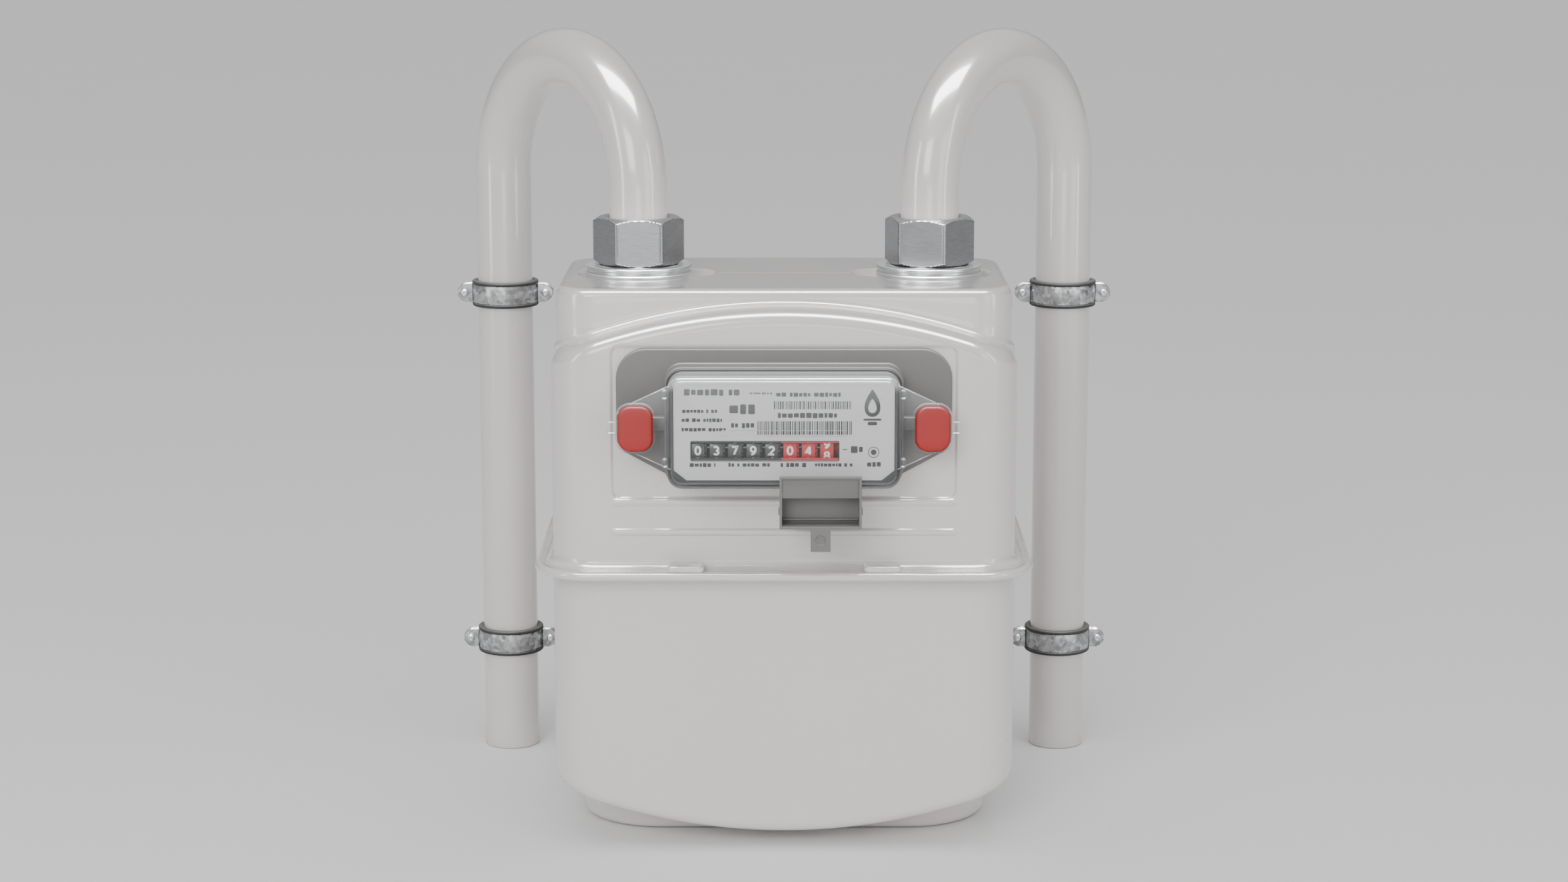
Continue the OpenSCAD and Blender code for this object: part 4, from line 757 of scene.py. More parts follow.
class METER_OT_rim(bpy.types.Operator):
    """Makes the rolled rim round the casing, and the two clips on its front"""
    bl_idname = "meter.rim"
    bl_label = "Rolled rim"

    def execute(self, context):
        w, d = RIM_HIGH[0] - RIM_LOW[0], RIM_HIGH[1] - RIM_LOW[1]
        half = (RIM_HIGH[2] - RIM_LOW[2]) / 2
        outer = [(0.15, half - 0.1), (half * 0.15, half)]
        section = [(3.4, 1.15), (3.4, half - 0.25), (3.15, half), (half, half)]
        turn = np.radians(np.linspace(90, -90, 13))[1:-1]
        section += list(zip(half - half * np.cos(turn), half * np.sin(turn)))
        section += [(half, -half), (3.15, -half), (3.4, 0.25 - half), (3.4, -1.15), (1.6, -1.15), (1.6, 1.15)]
        rings = []
        for step, z in section:
            p = rounded_rect(w - 2 * step, d - 2 * step, sizes().rim_r - step, (110, 90, 110, 90), 20)
            turn = np.arctan2(p[:, 1], p[:, 0])
            waver = 0.03 * np.sin(23 * turn + 1) + 0.02 * np.sin(41 * turn)
            rings.append(np.c_[p, SEAM_Z + z + waver * (abs(z) > 1.2) * (step > 0.5)])
        piece("rolled_rim", [loft(rings, "loop")], [enamel()], replaces=("crimp_band",),
              sharp=50)

        clips = []
        near = 29.0
        x_mid, clip_w = (CLIP_HIGH[0] + near) / 2, CLIP_HIGH[0] - near
        y_mid, clip_d = (CLIP_LOW[1] + CLIP_HIGH[1]) / 2, CLIP_HIGH[1] - CLIP_LOW[1]
        low, high = CLIP_LOW[2], CLIP_HIGH[2]
        for side in SIDES:
            rings = []
            for step, z in [(0.3, low), (0, low + 0.3)] + fillet(0, high - 0.8, 0.8, high, 5):
                p = rounded_rect(clip_w - 2 * step, clip_d - 2 * step, 1.2, centre=(side * x_mid, y_mid))
                rings.append(level(p, z))
            for step, sunk in ((1.4, 0.0), (1.9, 0.35)):
                p = rounded_rect(clip_w - 2 * step, clip_d - 2 * step, 0.7, centre=(side * x_mid, y_mid))
                rings.append(level(p, high - sunk))
            clips.append(loft(rings, "flat"))
        piece("rim_clips", clips, [enamel()], replaces=("flange_clips",))
        return {"FINISHED"}


# ---------------------------------------------------------------- ports, nuts and pipes

# width of the union nuts across their flats
NUT_FLATS = 30.2


def hex_nut(middle, flats, height, bore, turn, chamfer, mouth):
    """Hexagonal nut: at each height its outline is the smaller of a hexagon and a cone.

    mouth gives the profile of the hole as (radius, height) from the top down, and its last radius runs on.
    """
    angle = np.radians(np.linspace(0, 360, 240, endpoint=False))
    sector = (angle - np.radians(turn) + np.pi / 6) % (np.pi / 3) - np.pi / 6
    flat = flats / 2 / np.cos(sector)
    soft = flats / 2 / np.cos(np.pi / 6) - 0.35
    flat = np.minimum(flat, soft + (flat - soft) * 0.35)
    corner = flats / 2 / np.cos(np.pi / 6)
    levels = np.r_[0, 0.12, np.linspace(0.4, chamfer + 0.5, 7),
                   np.linspace(chamfer + 2, height - chamfer - 2, 5),
                   np.linspace(height - chamfer - 0.5, height - 0.4, 7), height - 0.12, height]
    rings = []
    for z in levels:
        near = min(z, height - z)
        cone = flats / 2 - 0.35 + near * (corner - flats / 2 + 0.35) / chamfer
        rings.append((np.minimum(flat, cone), z))
    wide = mouth[-1][0]
    inner = [(bore + 0.6, height), (bore, height - 0.5)] + mouth + [(wide, 0.4), (wide + 0.5, 0)]
    stack = [level(np.c_[r * np.cos(angle), r * np.sin(angle)], z) for r, z in rings + inner]
    return loft(np.array(stack) + middle, "loop")


class METER_OT_ports(bpy.types.Operator):
    """Makes the two spigots and their union nuts"""
    bl_idname = "meter.ports"
    bl_label = "Spigots and nuts"

    def execute(self, context):
        s = sizes()
        disc_r = SPIGOT_HIGH[0] - s.port_x
        thread_h, disc_h, stud = 10, 6.5, 13.05
        top = SPIGOT_HIGH[2] - thread_h
        floor = top - disc_h
        thread = [(stud - 0.5 * (k % 2), top + 0.5 + 0.5 * k) for k in range(18)]
        body = [(9.6, floor - 6.9), (12.9, floor - 6.9), (12.9, floor), (disc_r - 0.4, floor)]
        body += fillet(disc_r - 0.4, floor, disc_r, floor + 0.4, 4, -1)
        groove = disc_r - 0.9
        body += [(disc_r, top - 2.9), (disc_r - 0.25, top - 2.6), (groove, top - 2.4), (groove, top - 1.5),
                 (disc_r - 0.25, top - 1.3), (disc_r, top - 1.0), (disc_r, top - 0.5)]
        body += fillet(disc_r, top - 0.5, disc_r - 0.5, top, 5)
        body += [(16.2, top), (15.9, top - 0.25), (15.4, top - 0.25), (15.1, top), (stud, top)] + thread
        body += [(stud - 0.6, top + 9.95), (9.9, top + 9.95), (9.6, top + 9.6)]
        spigots = [loft(lathe(body, (side * s.port_x, 0, 0)), "loop") for side in SIDES]
        piece("spigots", spigots, [zinc()], replaces=("port_spigots",), sharp=32)

        height = NUT_HIGH[2] - NUT_LOW[2]
        bore = s.pipe_r + 0.35
        mouth = [(bore, height - 0.5), (bore, height - 3.0), (13.25, height - 3.1)]
        nuts = []
        for side, turn in ((-1, s.inlet_turn), (1, s.outlet_turn)):
            seat = np.array([side * s.port_x, 0, NUT_LOW[2]])
            nuts.append(hex_nut(seat, NUT_FLATS, height, bore, turn, 1.6, mouth))
        piece("nuts", nuts, [bright_steel()], replaces=("union_nuts",), sharp=28)
        return {"FINISHED"}


def swan_neck(side):
    """A pipe carried along its centre line: a straight riser, a half circle and a drop to the union."""
    s = sizes()
    foot, port = np.array([s.riser_x, s.riser_y, 0.0]), np.array([s.port_x, 0.0, 0.0])
    across = (port - foot) / np.linalg.norm(port - foot)
    radius = np.linalg.norm(port - foot) / 2
    end_z = PIPE_LOW[2]
    collar_r, collar_h = 13.0, 2.8
    up = np.array([0, 0, 1.0])
    riser = [(foot + up * z, up) for z in np.r_[end_z, np.linspace(end_z + 0.4, s.bend_z, 40)[:-1]]]
    bend = []
    for turn in np.linspace(0, np.pi, 73):
        centre = (foot + port) / 2 + up * s.bend_z
        bend.append((centre - across * radius * np.cos(turn) + up * radius * np.sin(turn),
                     across * np.sin(turn) + up * np.cos(turn)))
    drop = [(port + up * z, -up) for z in np.linspace(s.bend_z, s.union_z, 8)[1:]]
    line = riser + bend + drop
    turn = np.linspace(0, 2 * np.pi, 72, endpoint=False)[:, None]
    aside = np.cross(across, up)
    rings = []

    def ring(point, ahead, r):
        other = np.cross(ahead, aside)
        rings.append(point + r * (np.cos(turn) * aside + np.sin(turn) * other))

    for k, (point, ahead) in enumerate(line):
        ring(point, ahead, s.pipe_r - (0.3 if k == 0 else 0))
    for z, r in ((collar_h, s.pipe_r), (collar_h, collar_r), (0, collar_r)):
        ring(port + up * (s.union_z + z), -up, r)
    for k, (point, ahead) in enumerate(reversed(line)):
        last = k == len(line) - 1
        ring(point, ahead, s.bore_r + (0.25 if last else 0))
    skin = np.array(rings)
    skin[..., 0] *= side
    return loft(skin, "loop")


class METER_OT_pipes(bpy.types.Operator):
    """Makes the inlet and the outlet swan neck"""
    bl_idname = "meter.pipes"
    bl_label = "Swan-neck pipes"

    def execute(self, context):
        for side, way in zip(SIDES, ("inlet", "outlet")):
            piece(way + "_swan_neck", [swan_neck(side)], [enamel()], replaces=(way + "_pipe",),
                  sharp=50)
        return {"FINISHED"}


# ---------------------------------------------------------------- pipe clamps

def clamp_places():
    s = sizes()
    return [np.array([side * s.riser_x, s.riser_y, z]) for side in SIDES for z in (s.clamp_low, s.clamp_high)]


def clamp_strap(half):
    """Half a strap: a flat section carried from ear to ear round the pipe; half is -1 for the front one.

    The section's height follows a half circle at each ear's tip, and a shallow crown runs along the round
    part.
    """
    inner, thick, height, reach, offset = 12.32, 0.8, 7.6, 19.1, 1.25
    corner, crown = 0.25, 0.22
    middle = inner + thick / 2
    start = np.arcsin(offset / middle)
    turn = np.linspace(start, np.pi - start, 44)
    arc = np.c_[middle * np.cos(turn), middle * np.sin(turn)]
    run = np.linspace(0, 1, 12)
    right = np.c_[reach - (reach - arc[0, 0]) * run, np.full(12, offset)][:-1]
    line = np.vstack([right, arc, (right * [-1, 1])[::-1]])
    ahead = np.gradient(line, axis=0)
    ahead /= np.linalg.norm(ahead, axis=1)[:, None]
    side = np.c_[ahead[:, 1], -ahead[:, 0]]
    tip = reach - np.abs(line[:, 0])
    tip_round = np.sqrt(np.maximum(1.2 ** 2, (height / 2) ** 2 - (height / 2 - tip) ** 2))
    half_h = np.where(tip < height / 2, tip_round, height / 2)
    thickness = np.where(np.abs(line[:, 0]) > middle + 0.3, 0.7, thick / 2)
    z_shape = np.array([-1, -1, -0.35, 0.35, 1, 1, 1, 1, 0.35, -0.35, -1, -1])
    z_trim = np.array([corner, 0, 0, 0, 0, -corner, -corner, 0, 0, 0, 0, corner])
    t_shape = np.array([1, 1, 1, 1, 1, 1, -1, -1, -1, -1, -1, -1])
    t_trim = np.array([0, -corner, crown, crown, -corner, 0, 0, corner, 0, 0, corner, 0])
    on_arc = (np.abs(line[:, 0]) < middle - 0.4)[:, None]
    out = t_shape * thickness[:, None] + np.where(t_trim == crown, t_trim * on_arc, t_trim)
    z = z_shape * half_h[:, None] + z_trim
    return np.stack([line[:, :1] + side[:, :1] * out, (line[:, 1:] + side[:, 1:] * out) * half, z], -1)


class METER_OT_clamps(bpy.types.Operator):
    """Makes the four pipe clamps: straps, rubber liners, screws and wall bosses"""
    bl_idname = "meter.clamps"
    bl_label = "Pipe clamps"

    def execute(self, context):
        s = sizes()
        places = clamp_places()
        front = [loft(clamp_strap(-1) + p, "flat") for p in places]
        piece("straps_front", front, [galvanised()], replaces=("clamp_front_halves",), sharp=35)
        rear = [loft(clamp_strap(1) + p, "flat") for p in places]
        boss_y, flats, hole = BOSS_HIGH[1] - s.riser_y, 13.0, 3.4
        angle = np.radians(np.linspace(0, 360, 120, endpoint=False))
        for p in places:
            sector = (angle + np.pi / 6) % (np.pi / 3) - np.pi / 6
            flat = flats / 2 / np.cos(sector)
            thread = [(hole - 0.35 * (k % 2), boss_y - 0.9 - 0.5 * k) for k in range(16)]
            rings = []
            for r, y in [(hole, 12.7), (hole, 13.7), (7.0, 13.7), (9, 14.2), (9, boss_y - 0.7), (7.0, boss_y),
                         (hole + 0.5, boss_y), (hole, boss_y - 0.4)] + thread + [(0.6, boss_y - 9.9)]:
                ring_r = np.minimum(flat, r)
                ring = np.c_[ring_r * np.cos(angle), np.full(len(angle), y), -ring_r * np.sin(angle)]
                rings.append(ring + p)
            rear.append(loft(rings))
        piece("straps_rear", rear, [galvanised()], replaces=("clamp_rear_halves",), sharp=35)

        lip, half = LINER_HIGH[0] - s.riser_x, 3.8
        r_in, r_out, lip_h = s.pipe_r + 0.06, 12.15, 1.35
        profile = [(r_in, -half - lip_h + 0.2), (r_in + 0.25, -half - lip_h)]
        profile += fillet(lip - 0.6, -half - lip_h, lip, -half - lip_h + 0.6, 5, -1)
        profile += [(lip, -half - 0.25), (lip - 0.25, -half), (r_out, -half), (r_out, half),
                    (lip - 0.25, half), (lip, half + 0.25)]
        profile += fillet(lip, half + lip_h - 0.6, lip - 0.6, half + lip_h, 5)
        profile += [(r_in + 0.25, half + lip_h), (r_in, half + lip_h - 0.2)]
        liners = [loft(lathe(profile, p), "loop") for p in places]
        piece("liners", liners, [rubber()], replaces=("clamp_liners",), sharp=40)

        screw_x = 16.3
        screw = [(1e-4, 3.5), (1.0, 3.5), (1.05, -2.0), (1.6, -2.0), (1.6, -2.5)]
        screw += fillet(1.6, -2.5, 0.75, -3.35, 6)
        screw += [(0.7, -3.3), (0.55, -2.9), (1e-4, -2.9)]
        heads = []
        for p in places:
            for side in SIDES:
                heads.append(loft(lathe(screw, p + [side * screw_x, 0, 0], axis="y", count=32)))
        piece("clamp_bolts", heads, [zinc()], replaces=("clamp_screws",), sharp=40)
        return {"FINISHED"}


# ---------------------------------------------------------------- index

def mount_outline():
    """Front view of the mounting plate: wide at the seals, with large round shoulders and a narrow foot."""
    half, top, low = PLATE_HIGH[0], PLATE_HIGH[2], PLATE_LOW[2]
    points = [(37.6, low), (half, 151.0), (half, top), (-half, top), (-half, 151.0), (-37.6, low)]
    return round_corners(points, [3, 8, 11, 11, 8, 3], 9)


# width of a seal cap, and the height of the seals and of the cover's screws
SEAL_W = 12.7
INDEX_Z = 160.4


def index_ring(w, h, r, middle, sides=(30, 18, 30, 18)):
    """A function of an inset that gives a rectangle with round corners about the index's middle."""
    return lambda step: rounded_rect(w - 2 * step, h - 2 * step, max(r - step, 0.3), sides, 10, middle)


class METER_OT_index(bpy.types.Operator):
    """Makes the index's mounting plate, housing, gasket and clear cover"""
    bl_idname = "meter.index"
    bl_label = "Index housing and cover"

    def execute(self, context):
        back, face = PLATE_HIGH[1], PLATE_LOW[1]
        piece("mounting_plate", [loft(facing(mount_outline(), plate_steps(back, face, 0.7)), "flat")],
              [grey_plastic()], replaces=("index_mount_plate",))

        gasket_w, gasket_h = GASKET_HIGH[0] - GASKET_LOW[0], GASKET_HIGH[2] - GASKET_LOW[2]
        middle = (0, (GASKET_LOW[2] + GASKET_HIGH[2]) / 2)
        rim = 1.6
        front = GASKET_HIGH[1]
        outer = index_ring(gasket_w + 2 * rim, gasket_h + 2 * rim, 6.5, middle)
        wall = rim + 1.4
        steps = [(0, face - 0.02), (0, face - 1.2), (0.35, face - 1.5), (0.35, front + 0.7)]
        steps += fillet(0.35, front + 0.7, 1.0, front, 5)
        steps += [(wall - 0.3, front), (wall, front + 0.3), (wall, face - 1.2)]
        skins = [loft(facing(outer, steps), "flat")]
        cover_back = COVER_HIGH[1]
        for side in SIDES:
            boss = [(1e-4, face - 0.01), (4.6, face - 0.01), (4.6, cover_back + 0.4), (4.2, cover_back + 0.01),
                    (1.7, cover_back + 0.01), (1.55, cover_back + 0.4), (1.55, face - 3.0),
                    (1e-4, face - 3.0)]
            skins.append(loft(lathe(boss, (side * 53.1, 0, INDEX_Z), axis="y", count=48)))
            arm = rounded_rect(12.5, 5.0, 0.8, centre=(side * 47.4, INDEX_Z))
            skins.append(loft(facing(arm, plate_steps(face, face - 4, 0.5)), "flat"))
        piece("index_body", skins, [grey_plastic()], replaces=("index_housing",))

        ring = index_ring(gasket_w, gasket_h, 5.5, middle)
        proud = -0.55
        steps = [(proud + 0.15, front - 0.02), (proud, front - 0.2), (proud, GASKET_LOW[1] + 0.2),
                 (proud + 0.15, GASKET_LOW[1] + 0.02), (1.4, GASKET_LOW[1] + 0.02), (1.4, front - 0.02)]
        piece("index_gasket", [loft(facing(ring, steps), "loop")], [rubber()],
              replaces=("cover_gasket",))

        root, glass = cover_back, COVER_LOW[1]
        steps = [(0, root), (0, glass + 2.2)] + fillet(0, glass + 2.2, 2.2, glass, 8)[1:]
        steps += [(2.6, glass), (gasket_h / 2 - 1, glass)]
        inner = [(gasket_h / 2 - 1, glass + 1.3), (2.9, glass + 1.3)]
        inner += fillet(2.9, glass + 1.3, 1.4, glass + 2.8, 5, -1)[1:] + [(1.4, root)]
        skins = [loft(facing(ring, steps + inner), "loop")]
        wing_front = SEAL_HIGH[1]
        for side in SIDES:
            wing = np.array([(40.6, 144.9), (54.1, 151.2), (60.3, 155.4), (60.3, 158.2), (63.3, 158.2),
                             (63.3, 162.6), (60.3, 162.6), (60.3, 165.4), (54.1, 169.6), (40.6, 175.9)])
            curve = round_corners(wing, [0.3, 3, 2, 0.4, 0.8, 0.8, 0.4, 2, 3, 0.3], 5) * [side, 1]
            curve = curve if side > 0 else curve[::-1]
            skins.append(loft(facing(curve, plate_steps(root, wing_front, 0.4)), "flat"))
            for z in (-12.4, 12.4):
                knuckle = rounded_rect(2.0, 3.4, 0.8, centre=(side * 42.6, INDEX_Z + z))
                skins.append(loft(facing(knuckle, plate_steps(wing_front, wing_front - 3.0, 0.5)), "flat"))
            collar = index_ring(SEAL_W + 1.4, SEAL_HIGH[2] - SEAL_LOW[2] + 1.4, 5.3,
                                (side * (SEAL_HIGH[0] - SEAL_W / 2), INDEX_Z))
            edge = [(0, wing_front), (0, wing_front - 1.2), (0.25, wing_front - 1.5),
                    (0.55, wing_front - 1.5), (0.68, wing_front - 1.3), (0.68, wing_front)]
            skins.append(loft(facing(collar, edge), "loop"))
        piece("clear_cover", skins, [clear_plastic()], replaces=("index_cover",))
        return {"FINISHED"}


class METER_OT_seals(bpy.types.Operator):
    """Makes the two red seal caps"""
    bl_idname = "meter.seals"
    bl_label = "Seal caps"

    def execute(self, context):
        back, front = SEAL_HIGH[1], SEAL_LOW[1]
        skins = []
        for side in SIDES:
            middle = (side * (SEAL_HIGH[0] - SEAL_W / 2), (SEAL_LOW[2] + SEAL_HIGH[2]) / 2)
            ring = index_ring(SEAL_W, SEAL_HIGH[2] - SEAL_LOW[2], 4.6, middle, (8, 14, 8, 14))
            steps = [(0.25, back), (0, back - 0.25), (0, back - 0.9), (0.35, back - 1.05),
                     (0.35, front + 0.9)]
            steps += fillet(0.35, front + 0.9, 1.25, front + 0.12, 6)
            steps += [(2.2, front + 0.04), (3.6, front), (5.4, front)]
            skins.append(loft(facing(ring, steps)))
        piece("red_caps", skins, [seal_red()], replaces=("seal_caps",))
        return {"FINISHED"}


class METER_OT_pocket(bpy.types.Operator):
    """Makes the pulse pocket under the index, with a bump at each side of its mouth and a rail across it"""
    bl_idname = "meter.pocket"
    bl_label = "Pulse pocket"

    def execute(self, context):
        softened("pulse_pocket", grey_plastic(), 0.3)
        low, high = box_mm("pulse_pocket")
        skins = []
        x0, x1, rim_y = low[0], high[0], low[1]
        for x in (x0 + 0.2, x1 - 0.2):
            bump = rounded_rect(1.2, 2.6, 0.5, centre=(x, 132.5))
            skins.append(loft(facing(bump, plate_steps(rim_y + 3, rim_y + 0.3, 0.3)), "flat"))
        rail = rounded_rect(x1 - x0 - 1.8, 0.7, 0.3, centre=((x0 + x1) / 2, 128.4))
        skins.append(loft(facing(rail, plate_steps(rim_y + 8.2, rim_y + 6.6, 0.25)), "flat"))
        piece("pocket_details", skins, [grey_plastic()])
        return {"FINISHED"}


# ---------------------------------------------------------------- dial and counter

# left, lower, right and upper edge of the number window, and where the red wheels begin in it
WINDOW = (-33.1, 149.6, 19.46, 156.4)
RED_FROM = -0.9
# how far the print stands out from the dial
PRINT = 0.04


def bar(x, z, w, h, y, r=None):
    """A printed bar on the dial's face: a thin raised plate with round corners, x being its left end."""
    r = min(w, h) / 2 * 0.9 if r is None else r
    curve = rounded_rect(w, h, r, (2, 2, 2, 2), 4, (x + w / 2, z))
    return loft(facing(curve, [(0, y + 0.01), (0, y - PRINT)]), "flat")


def blocks(x, z, w, h, y, rng):
    """A printed row of plain blocks: seeded widths of 0.5 to 1 height, and now and then a wider gap."""
    out, end = [], x + w
    while x < end - 0.3 * h:
        width = min(h * rng.uniform(0.5, 1.0), end - x)
        out.append(bar(x, z + h * rng.uniform(-0.04, 0.04), width, h * rng.uniform(0.72, 1.0), y, r=0.12 * h))
        x += width + h * (0.75 if rng.random() < 0.18 else 0.2)
    return out


def stripes(x, z, w, h, y, rng):
    """A printed row of upright bars with seeded widths and gaps, which stand for nothing."""
    out, end = [], x + w
    while x < end - 0.2:
        width = min(rng.choice([0.18, 0.32, 0.5]), end - x)
        out.append(bar(x, z, width, h, y, r=0.01))
        x += width + rng.choice([0.22, 0.34, 0.46])
    return out


class METER_OT_dial(bpy.types.Operator):
    """Makes the dial plate with its number window and its generic print"""
    bl_idname = "meter.dial"
    bl_label = "Dial"

    def execute(self, context):
        w, h = DIAL_HIGH[0] - DIAL_LOW[0], DIAL_HIGH[2] - DIAL_LOW[2]
        middle = (0, (DIAL_LOW[2] + DIAL_HIGH[2]) / 2)
        back, front = DIAL_HIGH[1], DIAL_LOW[1]
        outer = index_ring(w, h, 3.8, middle)
        x0, z0, x1, z1 = WINDOW
        window = index_ring(x1 - x0, z1 - z0, 0.4, ((x0 + x1) / 2, (z0 + z1) / 2))
        rings = facing(outer, [(0, back), (0, front + 0.1), (0.1, front)])
        rings += facing(window, [(-0.1, front), (0, front + 0.1), (0, back)])
        piece("dial_face", [loft(rings, "loop")], [dial_white()], replaces=("dial_plate",))

        y = front
        skins, paper = [], []
        rng = np.random.default_rng(7)
        # the printed lines as rows of plain blocks: (x, z, width, height)
        for row in [(-35.5, 174.2, 20.6, 2.5), (-12.2, 173.9, 8.0, 0.7), (-2.8, 173.4, 23.6, 1.7),
                    (-19.4, 168.2, 9.4, 3.6), (-36.2, 167.4, 12.6, 1.3), (-36.4, 164.2, 14.4, 1.4),
                    (-36.4, 160.8, 16.4, 1.4), (-18.8, 162.3, 8.2, 1.9), (-2.2, 165.9, 21.0, 2.0),
                    (-33.6, 148.0, 9.2, 1.5), (-19.8, 148.0, 15.4, 1.5), (-1.2, 148.0, 9.6, 1.6),
                    (11.0, 148.0, 13.6, 1.3), (29.6, 148.2, 5.4, 1.9), (21.0, 153.6, 1.5, 0.5),
                    (23.8, 153.6, 4.2, 2.6)]:
            skins += blocks(*row, y, rng)
        # two scales of plain bars in place of codes
        for scale in ((-3.6, 169.6, 28.0, 2.9), (-9.4, 161.4, 33.6, 4.9)):
            skins += stripes(*scale, y, rng)
        # a plain drop over two bars as a symbol, and a ring with a dot
        turn = np.linspace(0, 2 * np.pi, 56, endpoint=False)
        for scale, lift, depth, skin in ((1.0, 0.0, PRINT, skins), (0.52, -1.0, 0.06, paper)):
            drop = np.c_[3.7 * np.sin(turn) * np.sin(turn / 2), 5.0 * np.cos(turn)] * scale
            drop = drop[::-1] + (31.4, 170.4 + lift)
            skin.append(loft(facing(drop, [(0, y + 0.01), (0, y - depth)]), "flat"))
        skins += [bar(28.2, 164.4, 6.4, 0.7, y), bar(29.7, 163.0, 3.4, 1.3, y)]
        mark = (31.9, y, 152.6)
        ring = [(2.0, 0.01), (2.0, -PRINT), (1.75, -PRINT), (1.75, 0.01)]
        skins.append(loft(lathe(ring, mark, axis="y", count=48), "loop"))
        disc = [(1e-4, 0.01), (1.0, 0.01), (1.0, -PRINT), (1e-4, -PRINT)]
        skins.append(loft(lathe(disc, mark, axis="y", count=40)))
        # a dark line round the plate
        edge = [(0.42, y + 0.01), (0.42, y - 0.12), (-0.45, y - 0.12), (-0.45, y + 0.01)]
        skins.append(loft(facing(outer, edge), "loop"))
        # dark corners of the retaining frame
        for side in SIDES:
            corner = np.array([(34.6, 142.3), (37.6, 142.3), (39.5, 144.3), (39.5, 146.2)]) * [side, 1]
            corner = corner if side > 0 else corner[::-1]
            skins.append(loft(facing(corner, [(0, y + 0.01), (0, y - 0.4)]), "flat"))
        # a mask over the window's upper and lower edge, black and red as the wheels behind it
        reds = []
        for low, high in ((z0 + 0.03, z0 + 0.9), (z1 - 0.5, z1 - 0.03)):
            for left, right, skin in ((x0 + 0.03, RED_FROM, skins), (RED_FROM, x1 - 0.03, reds)):
                strip = rounded_rect(right - left, high - low, 0.05, (2, 2, 2, 2), 2,
                                     ((left + right) / 2, (low + high) / 2))
                skin.append(loft(facing(strip, [(0, back - 0.05), (0, back - 0.45)]), "flat"))
        # a thin frame round the window
        frame_ring = [(0, y + 0.01), (0, y - 0.06), (-0.28, y - 0.06), (-0.28, y + 0.01)]
        skins.append(loft(facing(window, frame_ring), "loop"))
        piece("dial_print", skins + [(*skin, 1) for skin in paper] + [(*skin, 2) for skin in reds],
              [ink(), dial_white(), wheel_finish(True)])
        return {"FINISHED"}


def arc_line(cx, cy, rx, ry, start, end, count=22):
    """Points on an ellipse from one angle to another."""
    t = np.radians(np.linspace(start, end, count))
    return np.c_[cx + rx * np.cos(t), cy + ry * np.sin(t)]


def digit_strokes(digit):
    """Centre lines of a digit in a unit box, as plain arcs and straight lines."""
    six = np.vstack([arc_line(0.86, 0.34, 0.78, 0.66, 92, 178, 12),
                     arc_line(0.5, 0.32, 0.42, 0.32, 180, 540)])
    strokes = {
        0: [arc_line(0.5, 0.5, 0.42, 0.5, 90, 450, 34)],
        1: [np.array([(0.2, 0.76), (0.56, 1.0), (0.56, 0.0)])],
        2: [np.vstack([arc_line(0.49, 0.71, 0.41, 0.29, 165, -28, 18), [(0.08, 0.0), (0.94, 0.0)]])],
        3: [arc_line(0.46, 0.745, 0.38, 0.255, 150, -90), arc_line(0.46, 0.26, 0.42, 0.26, 90, -150)],
        4: [np.array([(0.72, 0.0), (0.72, 1.0), (0.04, 0.3), (1.0, 0.3)])],
        5: [np.vstack([[(0.88, 1.0), (0.2, 1.0), (0.14, 0.55)],
                       arc_line(0.46, 0.33, 0.44, 0.33, 125, -150)])],
        6: [six],
        7: [np.array([(0.04, 1.0), (0.94, 1.0), (0.38, 0.0)])],
        8: [arc_line(0.5, 0.755, 0.36, 0.245, 90, 450, 30), arc_line(0.5, 0.26, 0.43, 0.26, 90, 450, 30)],
        9: [1 - six],
    }
    return strokes[digit]


def ribbon(line, width):
    """Left and right edge of a stroke of even width along a line, with mitred bends."""
    ahead = np.diff(line, axis=0)
    ahead /= np.linalg.norm(ahead, axis=1)[:, None]
    normal = np.c_[-ahead[:, 1], ahead[:, 0]]
    if np.allclose(line[0], line[-1]):
        both = np.vstack([normal[-1:] + normal[:1], normal[1:] + normal[:-1], normal[-1:] + normal[:1]])
    else:
        both = np.vstack([normal[:1] * 2, normal[1:] + normal[:-1], normal[-1:] * 2])
    length = np.maximum(np.linalg.norm(both, axis=1), 1e-9)[:, None]
    mitre = both / length / np.clip(length / 2, 0.5, 1)
    return line + mitre * width / 2, line - mitre * width / 2


def drum_digit(digit, x_mid, axis_y, axis_z, r, turn):
    """A digit laid on a drum: its strokes are bent round the drum's axis, turn degrees up from the front."""
    height = sizes().digit_h
    skins = []
    for line in digit_strokes(digit):
        line = (line - 0.5) * [height * 0.72, height]
        long = np.linalg.norm(np.diff(line, axis=0), axis=1)
        place = np.r_[0, np.cumsum(long)]
        even = np.union1d(np.arange(0, place[-1], 0.35), place)
        line = np.c_[np.interp(even, place, line[:, 0]), np.interp(even, place, line[:, 1])]
        left, right = ribbon(line, 0.74)
        edges = np.stack([left, right, right, left], 1)
        angle = np.radians(turn) + edges[..., 1] / r
        reach = r + np.array([0.03, 0.03, -0.12, -0.12])
        rings = np.stack([x_mid + edges[..., 0], axis_y - reach * np.cos(angle),
                          axis_z + reach * np.sin(angle)], -1)
        skins.append(loft(rings, "flat"))
    return skins


